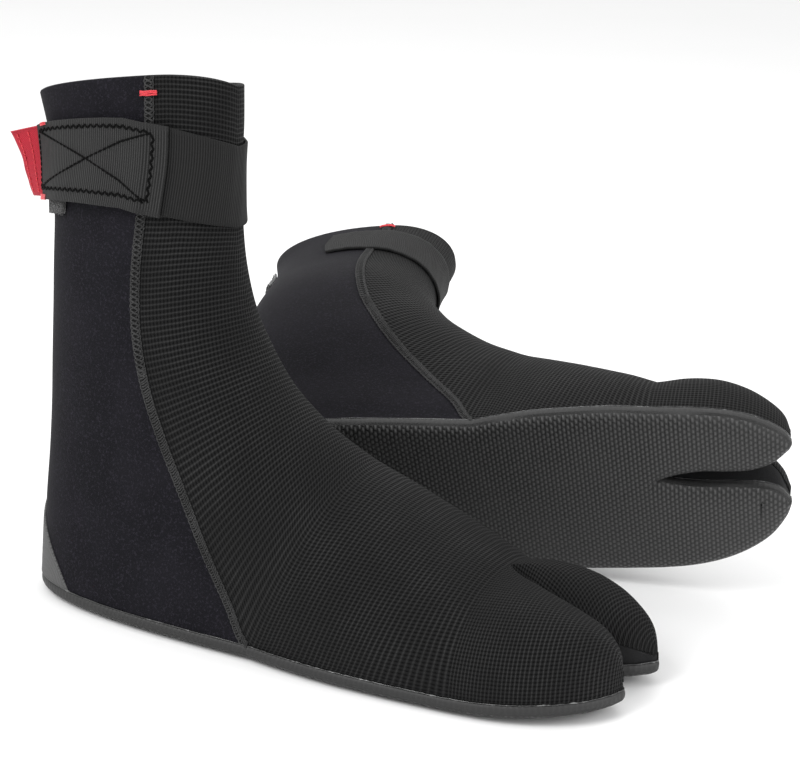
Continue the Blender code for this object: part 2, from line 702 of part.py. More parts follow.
        # stitched end section: over the elastic first, then out over the hook and loop tapes
        start, end = 0.0100, -heel + self.short
        distance = np.array(self.stations(start, end))
        loop_top = 0.0015 + LOOP_THICK
        hook_low = loop_top + 2 * GAP
        hook_top = hook_low + HOOK_THICK
        over_elastic = elastic_high + GAP
        over_tapes = hook_top + 2 * GAP
        blend = np.clip((0.0035 - distance) / 0.004, 0.0, 1.0)
        low = over_elastic + (over_tapes - over_elastic) * blend
        axis, normal = self.around(STRAP_MID_Z, start + PEEL_AHEAD, True)
        self.pivot = axis + normal * (over_elastic + STRAP_END_THICK / 2)
        self.strap_piece("strap_end", start, end, low_z, high_z, low, low + STRAP_END_THICK,
                         "webbing", pivot=self.pivot)
        self.strap_piece("hook_patch", -0.0045, end + 0.005, low_z + 0.003, high_z - 0.003,
                         hook_low, hook_top, "hook_tape", pivot=self.pivot)
        self.strap_piece("loop_patch", -heel + 0.031, -heel - 0.004, low_z - 0.006, high_z - 0.002,
                         0.0015, loop_top, "loop_tape")
        # red pull tab, a folded tape sewn to the free end and widening upwards
        edge = []
        for z in (low_z + 0.002, high_z - 0.001):
            p, n = self.around(z, end, True)
            q, _ = self.around(z, end + 0.002, True)
            out = p - q
            out[2] = 0.0
            edge.append((p + n * (over_tapes + STRAP_END_THICK / 2), n, out / np.linalg.norm(out)))
        self.tab_axis = [e[0] + e[2] * GAP for e in edge]
        rows = []
        for (p, n, out), reach in zip(edge, (0.007, 0.0125)):
            lean = out * 0.55 + n * 0.83
            lean /= np.linalg.norm(lean)
            rows.append([p + out * GAP * 3, p + out * GAP * 3 + lean * reach * 0.55,
                         p + out * GAP * 3 + lean * reach])
        points = np.array([q for row in rows for q in row])
        flat = np.cross(rows[0][2] - rows[0][0], rows[1][0] - rows[0][0])
        flat /= np.linalg.norm(flat)
        normals = np.array([flat] * len(points))
        faces = grid_faces(2, 3)
        a, b, c = (points[v] for v in faces[0][:3])
        if np.dot(np.cross(b - a, c - a), flat) < 0:
            faces = [tuple(reversed(f)) for f in faces]
        self.add("pull_tab", *slab(points, faces, normals, -TAB_THICK / 2, TAB_THICK / 2), "red_tape",
                 pivot=self.tab_axis[0])
        over = over_tapes + STRAP_END_THICK + 2 * GAP
        self.strap_piece("tab_bartack_lower", end + 0.010, end + 0.001, low_z + 0.0006, low_z + 0.0030,
                         over, over + 0.0008, "red_thread", pivot=self.pivot)
        self.strap_piece("tab_bartack_upper", end + 0.006, end + 0.001, high_z - 0.0022, high_z - 0.0004,
                         over, over + 0.0008, "red_thread", pivot=self.pivot)

    def make(self):
        self.heel_panel()
        self.toe_cover_and_gusset()
        self.sole()
        self.seam("seam_outer", True)
        self.seam("seam_inner", False)
        self.heel_patch()
        self.strap()
        self.bartack("bartack_outer", 0.0)
        self.bartack("bartack_inner", self.inner_distance(0.2275))


clear_scene()
shift = Matrix.Translation(Vector(PAIR_SHIFT))
turn = Matrix.Rotation(math.radians(RIGHT_TURN), 4, "Z")
right = Boot("right", False, shift @ turn, STRAP_SHORT[0], 0.0, 0.0)
right.make()
toe = Vector(LEFT_TOE).normalized()
up = Vector(LEFT_UP)
up = (up - toe * up.dot(toe)).normalized()
across = up.cross(toe)
lying = Matrix((toe, across, up)).transposed().to_4x4()
left = Boot("left", True, shift @ turn @ Matrix.Translation(Vector(LEFT_AT)) @ lying,
            STRAP_SHORT[1], LEFT_LEAN, LEFT_FLOP)
left.make()
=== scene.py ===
import math

import bpy
import numpy as np
from mathutils import Matrix, Vector


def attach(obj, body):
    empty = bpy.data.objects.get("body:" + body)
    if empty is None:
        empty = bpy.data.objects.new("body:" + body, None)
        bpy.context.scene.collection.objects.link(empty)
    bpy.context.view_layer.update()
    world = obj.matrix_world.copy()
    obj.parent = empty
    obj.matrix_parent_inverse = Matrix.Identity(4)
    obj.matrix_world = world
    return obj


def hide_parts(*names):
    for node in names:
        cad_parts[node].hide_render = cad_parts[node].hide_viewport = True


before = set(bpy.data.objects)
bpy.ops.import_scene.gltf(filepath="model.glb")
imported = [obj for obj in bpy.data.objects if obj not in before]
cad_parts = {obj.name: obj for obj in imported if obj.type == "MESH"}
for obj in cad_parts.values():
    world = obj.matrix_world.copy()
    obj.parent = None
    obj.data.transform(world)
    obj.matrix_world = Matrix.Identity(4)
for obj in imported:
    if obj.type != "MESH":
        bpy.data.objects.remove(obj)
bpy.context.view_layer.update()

# ======================================================================== toe cover
# The front of the leg and the top of the foot are one sheet of 3 mm neoprene faced with a
# knit of thin raised lines and rows of small holes. The sheet runs from the rim to both toe
# pockets, is seamed to the heel panel along each side and glued down to the sole.

MM = 0.001
NEOPRENE = 3.0
FINE = 30                       # columns along a quarter of a hoop
RIM_LIFT = 8.0                  # the outer wall of the soft shaft stands higher
SHAFT_STILL = 56.0              # the soft shaft keeps its height this far in front of the heel,
SHAFT_TIP = 0.14                # rises by this much per mm ahead of it and sags as much behind it
LEFT_LEAN = 6.0                 # the shaft of the lying boot is bent back this far at the rim
LEFT_FLOP = 19.0                # and flops this many degrees towards the floor
TOE_SPRING = 3.5
SOLE_LINE = 6.3                 # height at which the upper meets the sole
SEAM_END = 11                   # hoop at which the side seams reach the sole
FOLD = 0.70                     # share of the slit wall that the cover still reaches down

# seam height, back x, outer seam x, inner seam x, front x, front height,
# outer half width, inner half width, back roundness, front roundness, ridge offset (mm)
HOOPS = np.array([
    (235.0, -9, 64, 58, 94, 235, 23, 23, 2.1, 2.1, 0),
    (217.0, -4, 65, 59, 94, 217, 24, 24, 2.1, 2.1, 0),
    (199.0, -1, 65, 59, 93, 199, 25, 25, 2.1, 2.1, 0),
    (176.0, 0, 62, 58, 94, 177, 26, 26, 2.1, 2.1, 0),
    (154.0, 0, 61, 59, 96, 159, 28, 28, 2.1, 2.1, 0),
    (132.0, 0, 63, 63, 101, 141, 30, 30, 2.1, 2.1, 0),
    (109.0, 0, 69, 71, 109, 126, 31.5, 31, 2.2, 2.1, 1),
    (87.0, 0, 79, 84, 118, 112, 33, 33, 2.3, 2.1, 2),
    (65.0, 0, 92, 100, 129, 101, 35.5, 34.5, 2.5, 2.1, 4),
    (42.0, 0, 106, 119, 142, 92, 38.5, 36, 2.8, 2.1, 5),
    (22.0, 1, 121, 136, 154, 85, 42.5, 38.5, 3, 2.2, 6),
    (6.3, 1, 133, 147, 163, 81, 46, 40, 3, 2.3, 6),
    (6.3, 1, 150, 160, 177, 75, 48.5, 43.5, 3, 2.3, 7),
    (6.3, 1, 170, 177, 192, 68, 50, 47, 3, 2.3, 8),
    (6.3, 1, 190, 198, 208, 60, 50, 49.5, 3, 2.3, 9),
    (6.3, 1, 210, 214, 220, 54, 49, 50.7, 3, 2.3, 9),
    (6.3, 1, 230, 230, 230, 48, 47.5, 50.5, 3, 2.3, 9),
])
# outer x, outer y, slit x, slit y, ridge position from outer to slit, height (mm)
FOUR_TOES = np.array([
    (230.0, -47.5, 230, 9, 1.00, 48),
    (246, -45.5, 243, 6, 0.80, 46.5),
    (260, -41.5, 256, 4.6, 0.66, 43),
    (272, -35, 268, 4.2, 0.57, 38),
    (282, -26, 279, 3.0, 0.52, 32),
    (288.5, -15, 286.5, 0.0, 0.50, 24.5),
    (291, -7.2, 291, -6.0, 0.50, 15),
])
BIG_TOE = np.array([
    (230.0, 50.5, 230, 9, 1.00, 48),
    (245, 50, 239, 13, 0.76, 46.5),
    (260, 48.5, 251, 15.3, 0.62, 43),
    (273, 45, 263, 15, 0.55, 38),
    (283, 40, 274, 15.5, 0.52, 32),
    (289.5, 34.5, 284, 20, 0.50, 25),
    (292, 30, 291, 27.5, 0.50, 15),
])
SLIT_BULGE = 5.2                # the soft walls of the slit lean towards each other
SLIT_FULLNESS = 3.4             # and are squarer than the outer sides of the toes


def along(keys, t):
    """Rows of a keyed table, read off a smooth curve through it at each t."""
    t = np.atleast_1d(np.asarray(t, float))
    i = np.clip(t.astype(int), 0, len(keys) - 2)
    f = (t - i)[:, None]
    b = keys[i]
    c = keys[i + 1]
    a = np.where(i[:, None] > 0, keys[np.maximum(i - 1, 0)], 2 * b - c)
    d = np.where(i[:, None] + 2 < len(keys), keys[np.minimum(i + 2, len(keys) - 1)], 2 * c - b)
    square = 2 * a - 5 * b + 4 * c - d
    cube = 3 * b - a - 3 * c + d
    return 0.5 * (2 * b + (c - a) * f + square * f ** 2 + cube * f ** 3)


def quarter(power, steps=FINE):
    """A quarter of a rounded oval from the side (1, 0) to the top (0, 1), evenly spaced."""
    angle = np.linspace(0.0, math.pi / 2, 400)
    c = np.cos(angle) ** (2 / power)
    s = np.sin(angle) ** (2 / power)
    run = np.concatenate([[0.0], np.cumsum(np.hypot(np.diff(c), np.diff(s)))])
    want = np.linspace(0.0, run[-1], steps + 1)
    return np.interp(want, run, c), np.interp(want, run, s)


def heel_half(hoop, x, y):
    """From a side seam back to the heel line."""
    c, s = quarter(hoop[8])
    return np.stack([x + (hoop[1] - x) * s, y * c, np.full_like(c, hoop[0])], 1)


def front_half(hoop, x, y):
    """From a side seam, or from the sole, up to the ridge of the foot."""
    c, s = quarter(hoop[9])
    return np.stack([x + (hoop[4] - x) * s, hoop[10] + (y - hoop[10]) * c,
                     hoop[0] + (hoop[5] - hoop[0]) * s], 1)


def front_row(hoop):
    outer = front_half(hoop, hoop[2], -hoop[6])
    inner = front_half(hoop, hoop[3], hoop[7])
    return np.concatenate([outer, inner[::-1][1:]])


def heel_row(hoop):
    outer = heel_half(hoop, hoop[2], -hoop[6])
    inner = heel_half(hoop, hoop[3], hoop[7])
    return np.concatenate([outer, inner[::-1][1:]])


def toe_row(row, bulge):
    """Across a toe pocket, from the outer sole edge over the ridge and down into the slit."""
    c, s = quarter(2.3)
    ridge = row[0:2] + (row[2:4] - row[0:2]) * row[4]
    outer = ridge + (row[0:2] - ridge) * c[:, None]
    outer = np.column_stack([outer, SOLE_LINE + (row[5] - SOLE_LINE) * s])
    c, s = quarter(2.3 + (SLIT_FULLNESS - 2.3) * bulge / SLIT_BULGE)
    across = (row[2:4] - row[0:2]) / np.linalg.norm(row[2:4] - row[0:2])
    slit = ridge + (row[2:4] - ridge) * c[:, None] + across * (bulge * np.sin(math.pi * s ** 1.3))[:, None]
    slit = np.column_stack([slit, SOLE_LINE + (row[5] - SOLE_LINE) * s])
    return np.concatenate([outer, slit[::-1][1:]])


def ease(share):
    """Turns a straight rise from 0 to 1 into a smooth one."""
    return share ** 2 * (3 - 2 * share)


def settle(points):
    """Adds the toe spring and the lifted outer rim to points in millimetres."""
    p = np.array(points, float)
    rise = np.clip((p[..., 2] - 120.0) / 115.0, 0.0, 1.0)
    side = np.clip(-p[..., 1] / 23.0, 0.0, 1.0)
    spring = np.clip((p[..., 0] - 225.0) / 67.0, 0.0, 1.0)
    tip = SHAFT_TIP * (p[..., 0] - SHAFT_STILL)
    p[..., 2] += (RIM_LIFT * side + tip) * ease(rise) + TOE_SPRING * ease(spring)
    return p


def spring_at(x):
    """How far the toe spring lifts the sole at each x."""
    x = np.asarray(x, float)
    return settle(np.column_stack([x, 0 * x, 0 * x]))[:, 2]


def grid(rows, cols):
    """Faces of a grid of points, wound so that rows x columns gives the outer side."""
    at = np.arange(rows * cols).reshape(rows, cols)
    return np.stack([at[:-1, :-1], at[:-1, 1:], at[1:, 1:], at[1:, :-1]], -1).reshape(-1, 4)


def normals_of(verts, faces):
    out = np.cross(verts[faces[:, 2]] - verts[faces[:, 0]], verts[faces[:, 3]] - verts[faces[:, 1]])
    total = np.zeros_like(verts)
    for k in range(4):
        np.add.at(total, faces[:, k], out)
    return total / np.maximum(np.linalg.norm(total, axis=1), 1e-9)[:, None]


def unit(v):
    return v / np.maximum(np.linalg.norm(v, axis=-1, keepdims=True), 1e-9)


def solid_sheet(verts, faces, thick, edge=0.7, normals=None):
    """A sheet with rounded borders below an open patch: points, faces, source point, face kind.

    Face kind 0 is the outer side and the border, 1 is the inner side."""
    if normals is None:
        normals = normals_of(verts, faces)
    count = len(verts)
    thick = np.broadcast_to(np.asarray(thick, float), (count,))[:, None]
    pairs = np.concatenate([faces[:, [k, (k + 1) % 4]] for k in range(4)])
    pairs = pairs[pairs[:, 0] != pairs[:, 1]]
    key = pairs[:, 0] * count + pairs[:, 1]
    border = pairs[~np.isin(key, pairs[:, 1] * count + pairs[:, 0])]
    away = np.zeros_like(verts)
    step = unit(verts[border[:, 1]] - verts[border[:, 0]])
    for k in (0, 1):
        np.add.at(away, border[:, k], unit(np.cross(step, normals[border[:, k]])))
    away = unit(away)
    on_border = np.zeros(count, bool)
    on_border[border.ravel()] = True
    layers = []
    for angle in np.linspace(0.0, math.pi, 6):
        drop = thick * (0.5 - 0.5 * math.cos(angle))
        layers.append(verts - normals * drop - away * edge * (1 - math.sin(angle)) * on_border[:, None])
    spot = np.flatnonzero(on_border)
    place = -np.ones(count, int)
    place[spot] = np.arange(len(spot))
    points = [layers[0], layers[-1]] + [layer[spot] for layer in layers[1:-1]]
    source = np.concatenate([np.arange(count), np.arange(count)] + [spot] * 4)
    all_faces = [faces, faces[:, ::-1] + count]
    starts = [0] + [2 * count + k * len(spot) for k in range(4)] + [count]
    for k in range(5):
        upper = border if k == 0 else place[border] + starts[k]
        lower = border + count if k == 4 else place[border] + starts[k + 1]
        all_faces.append(np.stack([upper[:, 1], upper[:, 0], lower[:, 0], lower[:, 1]], -1))
    kind = np.concatenate([np.zeros(len(faces), int), np.ones(len(faces), int),
                           np.zeros(5 * len(border), int)])
    return np.concatenate(points), np.concatenate(all_faces), source, kind


def placement():
    """Where each boot stands: toes along +X in its own frame, inner side +Y, sole at 0."""
    pair = Matrix.Translation((-0.15938, -0.04813, 0.0)) @ Matrix.Rotation(math.radians(-27.5), 4, "Z")
    toe = Vector((0.965, 0.248, 0.086)).normalized()
    up = Vector((-0.2605, 0.8606, 0.4376))
    up = (up - toe * up.dot(toe)).normalized()
    lying = Matrix((toe, up.cross(toe), up)).transposed().to_4x4()
    return {"right": np.array(pair),
            "left": np.array(pair @ Matrix.Translation((0.0328, 0.0561, 0.03285)) @ lying)}


PLACES = placement()
SIDES = ("right", "left")


def flopped(points):
    """Leans the soft shaft of the lying boot back and flops it to the outer side."""
    share = np.clip((points[:, 2] - 90.0) / 145.0, 0.0, 1.0)
    x = points[:, 0] - LEFT_LEAN * ease(share)
    height = np.linspace(0.0, 260.0, 261)
    share = np.clip((height - 60.0) / 100.0, 0.0, 1.0)
    turn = math.radians(LEFT_FLOP) * ease(share)
    middle_y = -np.concatenate([[0.0], np.cumsum(np.sin(turn[:-1]))])
    middle_z = np.concatenate([[0.0], np.cumsum(np.cos(turn[:-1]))])
    y, z = points[:, 1], points[:, 2]
    angle = np.interp(z, height, turn)
    return np.column_stack([x, np.interp(z, height, middle_y) + y * np.cos(angle),
                            np.interp(z, height, middle_z) + y * np.sin(angle) + np.minimum(z, 0.0)])


def piece(side, name, points, faces, looks, uv=None, kind=None, body="boot"):
    """A mesh of one boot, given in its own frame in millimetres; the left boot is mirrored."""
    points = np.array(points, float)
    faces = np.asarray(faces)
    if side == "left":
        points = flopped(points)
        points[:, 1] *= -1
        faces = faces[:, ::-1]
    place = PLACES[side]
    points = points * MM @ place[:3, :3].T + place[:3, 3]
    mesh = bpy.data.meshes.new(side + "_" + name)
    mesh.from_pydata(points.tolist(), [], [list(dict.fromkeys(face)) for face in faces.tolist()])
    for look in looks:
        mesh.materials.append(look.material)
    mesh.polygons.foreach_set("use_smooth", [True] * len(mesh.polygons))
    if kind is not None:
        mesh.polygons.foreach_set("material_index", kind.tolist())
    if uv is not None:
        layer = mesh.uv_layers.new(name="weave")
        corner = np.empty(len(mesh.loops), int)
        mesh.loops.foreach_get("vertex_index", corner)
        layer.data.foreach_set("uv", np.asarray(uv, float)[corner].ravel())
    mesh.validate()
    item = bpy.data.objects.new(side + "_" + name + "_look", mesh)
    bpy.context.scene.collection.objects.link(item)
    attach(item, side + "_" + body)
    return item


def sum_of(operation, swapped=False):
    """An arithmetic method of Wire; swapped is the form with the socket on the right."""
    def apply(self, other):
        pair = (other, self) if swapped else (self, other)
        return self.math(operation, *pair)
    return apply


class Wire:
    """A shader socket that takes part in sums."""

    def __init__(self, look, socket):
        self.look = look
        self.socket = socket

    def math(self, operation, *values):
        return self.look.node("ShaderNodeMath", {"operation": operation}, dict(enumerate(values)))

    __add__ = sum_of("ADD")
    __radd__ = sum_of("ADD", swapped=True)
    __sub__ = sum_of("SUBTRACT")
    __rsub__ = sum_of("SUBTRACT", swapped=True)
    __mul__ = sum_of("MULTIPLY")
    __rmul__ = sum_of("MULTIPLY", swapped=True)
    __truediv__ = sum_of("DIVIDE")
    __pow__ = sum_of("POWER")

    def peaks(self, pitch, power=1.0):
        """Rounded peaks from 0 to 1, one at each multiple of the pitch."""
        wave = self.math("COSINE", self * (2 * math.pi / pitch))
        return (wave * 0.5 + 0.5) ** power

    def band(self, low, high):
        """0 at low and 1 at high, smoothly; low may be the larger one."""
        if low > high:
            return 1 - self.band(high, low)
        return self.look.node("ShaderNodeMapRange", {"interpolation_type": "SMOOTHSTEP"},
                              {"Value": self, "From Min": low, "From Max": high})


class Look:
    """A material, with its principled shader and short ways to add nodes."""

    def __init__(self, name, **constants):
        self.material = bpy.data.materials.new(name)
        self.material.use_nodes = True
        self.tree = self.material.node_tree
        self.shader = self.tree.nodes["Principled BSDF"]
        names = {"specular": "Specular IOR Level", "sheen": "Sheen Weight",
                 "sheen_roughness": "Sheen Roughness", "roughness": "Roughness"}
        for key, value in constants.items():
            self.shader.inputs[names[key]].default_value = value

    def node(self, kind, settings, values, output=0):
        made = self.tree.nodes.new(kind)
        for key, value in settings.items():
            setattr(made, key, value)
        for key, value in values.items():
            if isinstance(value, Wire):
                self.tree.links.new(value.socket, made.inputs[key])
            else:
                made.inputs[key].default_value = value
        return Wire(self, made.outputs[output])

    def weave(self):
        """Distances along and across the cloth, in millimetres."""
        spread = self.node("ShaderNodeUVMap", {"uv_map": "weave"}, {})
        return (self.node("ShaderNodeSeparateXYZ", {}, {0: spread}, 0),
                self.node("ShaderNodeSeparateXYZ", {}, {0: spread}, 1))

    def noise(self, scale, detail=2.0, roughness=0.5):
        place = self.node("ShaderNodeTexCoord", {}, {}, "Object")
        return self.node("ShaderNodeTexNoise", {},
                         {"Vector": place, "Scale": scale, "Detail": detail, "Roughness": roughness})

    def mix(self, factor, a, b):
        return self.node("ShaderNodeMix", {"data_type": "RGBA"}, {0: factor, 6: a, 7: b}, 2)

    def colour(self, value):
        self.tree.links.new(value.socket, self.shader.inputs["Base Color"])

    def roughness(self, value):
        self.tree.links.new(value.socket, self.shader.inputs["Roughness"])

    def relief(self, height, depth):
        """Raises the surface by height (0 to 1) times depth (mm)."""
        bump = self.node("ShaderNodeBump", {}, {"Height": height, "Distance": depth * MM, "Strength": 1.0})
        self.tree.links.new(bump.socket, self.shader.inputs["Normal"])

    def speckled(self, speck, band, colours, rough, depth=0.0):
        """Two colours, two roughnesses and a relief that all follow one noise."""
        self.colour(self.mix(speck.band(*band), *colours))
        self.roughness(rough[0] + speck * rough[1])
        if depth:
            self.relief(speck, depth)


def grey(value, blue=1.0):
    return (value, value, value * blue, 1.0)


KNIT_LINE = 2.1                 # spacing of the raised lines
KNIT_COLUMN = 1.7               # spacing of the holes along a line

grid_knit = Look("grid knit", sheen=0.02, sheen_roughness=0.5, specular=0.10)
u, v = grid_knit.weave()
sway = grid_knit.noise(160.0) * 0.5
knit_u = u + sway
knit_v = v + sway * 0.6
line = knit_v.peaks(KNIT_LINE, 3.0)
hole = (1 - knit_v.peaks(KNIT_LINE)) ** 0.7 * (knit_u + KNIT_COLUMN / 2).peaks(KNIT_COLUMN, 1.6)
column = (knit_u + KNIT_COLUMN / 2).peaks(KNIT_COLUMN, 2.2)
fibre = grid_knit.noise(2600.0, 3.0, 0.7)
wear = grid_knit.noise(28.0, 3.0, 0.6)
# Painted light: the holes, and the hole columns where they cross the raised lines, are painted darker as
# painted shade. The raised lines are painted lighter as a painted highlight on their tops, and the wear
# noise varies that highlight at random.
ground = grid_knit.mix(hole, grey(0.0060, 1.03), grey(0.0006, 1.1))
line_highlight_tone = grid_knit.mix(wear.band(0.35, 0.7), grey(0.014, 1.0), grey(0.026, 1.0))
grid_knit.colour(grid_knit.mix(line * (0.55 + fibre * 0.8) * (1 - column * 0.62), ground, line_highlight_tone))
grid_knit.roughness(0.72 + hole * 0.2 - line * 0.12 + fibre * 0.06)
grid_knit.relief(line * 0.45 + (1 - hole) * 0.35 - column * 0.25 + fibre * 0.12, 0.55)

lining = Look("knit lining", sheen=0.25, specular=0.2)
lining.speckled(lining.noise(1400.0, 2.0, 0.6), (0.3, 0.7), (grey(0.022, 1.05), grey(0.050, 1.05)),
                (0.85, 0.1), 0.25)

smooth_black = Look("smooth black jersey", sheen=0.08, specular=0.2)
smooth_black.speckled(smooth_black.noise(1500.0, 3.0, 0.7), (0.35, 0.75),
                      (grey(0.0035, 1.1), grey(0.010, 1.1)), (0.78, 0.15), 0.10)


def cover_net():
    """Points, faces and cloth distances of the whole toe cover and slit walls of a boot."""
    t = np.linspace(0, len(HOOPS) - 1, 225)
    rows = settle([front_row(h) for h in along(HOOPS, t)])
    cols = rows.shape[1]
    step = np.linalg.norm(np.diff(rows, axis=1), axis=2)
    u = np.concatenate([np.zeros((len(rows), 1)), np.cumsum(step, axis=1)], 1)
    down = np.linalg.norm(np.diff(rows, axis=0), axis=2)
    v = np.concatenate([[0.0], np.cumsum(down[:, FINE // 3:-FINE // 3].mean(1))])
    verts = [rows.reshape(-1, 3)]
    cloth = [np.column_stack([u.ravel(), np.repeat(v, cols)])]
    faces = [grid(len(rows), cols)]
    last = np.arange((len(rows) - 1) * cols, len(rows) * cols)
    crease = settle(toe_row(FOUR_TOES[0], 0.0))[FINE + 1:]
    wall = np.concatenate([rows[-1][FINE:FINE + 1], crease])
    fall = np.cumsum(np.linalg.norm(np.diff(wall, axis=0), axis=1))
    verts.append(crease)
    cloth.append(np.column_stack([u[-1, FINE] + fall, np.full(FINE, v[-1])]))
    count = len(rows) * cols + FINE
    crease_ids = np.arange(count - FINE, count)
    pockets = {}
    thick = [np.full(count, NEOPRENE)]
    for name, table in (("four", FOUR_TOES), ("big", BIG_TOE)):
        first = last[:FINE + 1] if name == "four" else last[::-1][:FINE + 1]
        ids = [np.concatenate([first, crease_ids])]
        t = np.linspace(0, len(table) - 1, 61)[1:]
        bulge = SLIT_BULGE * np.clip(t / 1.2, 0, 1) * np.clip((6 - t) / 2.2, 0, 1)
        pocket = settle([toe_row(r, b) for r, b in zip(along(table, t), bulge)])
        across = np.linalg.norm(np.diff(pocket, axis=1), axis=2)
        arc = np.concatenate([np.zeros((len(pocket), 1)), np.cumsum(across, axis=1)], 1)
        ridge = np.concatenate([rows[-1][FINE:FINE + 1], pocket[:, FINE]])
        ahead = v[-1] + np.cumsum(np.linalg.norm(np.diff(ridge, axis=0), axis=1)) * 1.15
        verts.append(pocket.reshape(-1, 3))
        cloth.append(np.column_stack([(arc if name == "four" else u[-1, -1] - arc).ravel(),
                                      np.repeat(ahead, cols)]))
        thick.append(np.repeat(np.clip(NEOPRENE * (1 - t / 4.0), 0.5, NEOPRENE), cols))
        for k in range(len(pocket)):
            ids.append(count + np.arange(k * cols, (k + 1) * cols))
        count += len(pocket) * cols
        ids = np.array(ids)
        net = np.stack([ids[:-1, :-1], ids[:-1, 1:], ids[1:, 1:], ids[1:, :-1]], -1).reshape(-1, 4)
        tip = ids[-1]
        k = np.arange(FINE)
        cap = np.stack([tip[k], tip[k + 1], tip[2 * FINE - k - 1], tip[2 * FINE - k]], -1)
        net = np.concatenate([net, cap])
        faces.append(net if name == "four" else net[:, ::-1])
        pockets[name] = ids
    verts, faces, cloth, thick = (np.concatenate(part) for part in (verts, faces, cloth, thick))
    return verts, faces[:, ::-1], cloth, thick, pockets


NET, NET_FACES, NET_CLOTH, NET_THICK, POCKETS = cover_net()
NET_NORMALS = normals_of(NET, NET_FACES)
wall = np.zeros(len(NET), bool)
for ids in POCKETS.values():
    wall[ids[:, FINE + int(FINE * FOLD) + 1:]] = True
in_slit = wall[NET_FACES].any(axis=1)


def part_of_net(chosen, sink=0.0, edge=0.7):
    faces = NET_FACES[chosen]
    used = np.unique(faces)
    index = np.zeros(len(NET), int)
    index[used] = np.arange(len(used))
    points, solid, source, kind = solid_sheet(NET[used] - NET_NORMALS[used] * sink, index[faces],
                                              NET_THICK[used], edge, NET_NORMALS[used])
    return points, solid, NET_CLOTH[used][source], kind


for side in SIDES:
    points, faces, cloth, kind = part_of_net(~in_slit)
    vamp = piece(side, "vamp", points, faces, (grid_knit, lining), cloth, kind)
    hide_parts(side + "_vamp")

# ======================================================================== toe gusset
# The walls of the slit between the big toe and the others are a strip of thinner, smooth
# black neoprene. It is let in under the folded edge of the toe cover and goes down to the sole.

for side in SIDES:
    points, faces, cloth, kind = part_of_net(in_slit, sink=0.35)
    gusset = piece(side, "toe_gusset", points, faces, (smooth_black, lining), cloth, kind)
    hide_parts(side + "_toe_gusset")

# ======================================================================== heel panel
# The back and sides of the leg and the heel are 3 mm neoprene faced with a smooth, nearly
# black nylon jersey that shines a little violet and shows a fine speckle close up.

heel_jersey = Look("smooth heel jersey", sheen=0.03, sheen_roughness=0.4, specular=0.10)
speck = heel_jersey.noise(850.0, 3.0, 0.8)
patchy = heel_jersey.noise(35.0, 3.0, 0.5)
night = heel_jersey.mix(patchy.band(0.35, 0.65), (0.0042, 0.0040, 0.0058, 1), (0.0062, 0.0058, 0.0082, 1))
heel_jersey.colour(heel_jersey.mix(speck.band(0.50, 0.66), night, (0.016, 0.0145, 0.020, 1)))
heel_jersey.roughness(0.72 + speck * 0.2)
heel_jersey.relief(speck, 0.16)


def heel_net():
    rows = settle([heel_row(h) for h in along(HOOPS, np.linspace(0, SEAM_END, 150))])
    across = np.linalg.norm(np.diff(rows, axis=1), axis=2)
    u = np.concatenate([np.zeros((len(rows), 1)), np.cumsum(across, axis=1)], 1)
    down = np.linalg.norm(np.diff(rows, axis=0), axis=2).mean(1)
    v = np.concatenate([[0.0], np.cumsum(down)])
    cloth = np.column_stack([u.ravel(), np.repeat(v, rows.shape[1])])
    return rows.reshape(-1, 3), grid(*rows.shape[:2]), cloth


for side in SIDES:
    verts, faces, cloth = heel_net()
    points, faces, source, kind = solid_sheet(verts, faces, NEOPRENE)
    heel = piece(side, "heel_panel", points, faces, (heel_jersey, lining), cloth[source], kind)
    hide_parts(side + "_heel_panel")

# ======================================================================== side seams
# Each side seam is a flatlock cover seam: the panels butt, and looped threads cross over the
# join in a band of 4 to 5 mm. Near the rim they lie as a criss-cross braid, further down as
# dense slanted stitches, with a clean chain line on the heel side.


def leg_table():
    """Closed rings round the leg, outer seam first and forwards, with distances along them."""
    hoops = along(HOOPS, np.linspace(0, SEAM_END, 661))
    rings = np.array([np.concatenate([front_row(h), heel_row(h)[::-1][1:]]) for h in hoops])
    step = np.linalg.norm(np.diff(rings, axis=1), axis=2)
    run = np.concatenate([np.zeros((len(rings), 1)), np.cumsum(step, axis=1)], 1)
    return hoops, rings, run


LEG_HOOPS, LEG_RINGS, LEG_RUN = leg_table()
FAR = 1e4


def leg_spot(t, d, inner):
    """Point at hoop t, at a distance forwards from the outer or the inner seam."""
    place = np.clip(t, 0, SEAM_END) * (len(LEG_RINGS) - 1) / SEAM_END
    low = np.clip(place.astype(int), 0, len(LEG_RINGS) - 2)
    share = (place - low)[:, None]
    shift = np.arange(len(LEG_RINGS))[:, None] * FAR
    keys = (LEG_RUN + shift).ravel()
    found = []
    for row in (low, low + 1):
        total = LEG_RUN[row, -1]
        want = (LEG_RUN[row, 2 * FINE] - d if inner else d) % total
        found.append(np.stack([np.interp(want + row * FAR, keys, LEG_RINGS[:, :, k].ravel())
                               for k in range(3)], 1))
    return settle(found[0] * (1 - share) + found[1] * share)


def on_leg(t, d, inner=False):
    """Points on the outer face of the leg and its outward direction there."""
    t, d = np.broadcast_arrays(np.asarray(t, float), np.asarray(d, float))
    t, d = t.astype(float), d.astype(float)
    here = leg_spot(t, d, inner)
    round_way = leg_spot(t, d + 0.8, inner) - leg_spot(t, d - 0.8, inner)
    above = leg_spot(np.maximum(t - 0.06, 0), d, inner)
    down_way = leg_spot(np.minimum(t + 0.06, SEAM_END), d, inner) - above
    out = unit(np.cross(round_way, down_way))
    return here, out if inner else -out


def seam_path(inner, step):
    """Hoop parameters at even steps down a side seam, and the distance run."""
    t = np.linspace(0, SEAM_END, 900)
    line = leg_spot(t, np.zeros_like(t), inner)
    run = np.concatenate([[0.0], np.cumsum(np.linalg.norm(np.diff(line, axis=0), axis=1))])
    want = np.arange(0.6, run[-1] - 0.5, step)
    return np.interp(want, run, t), want


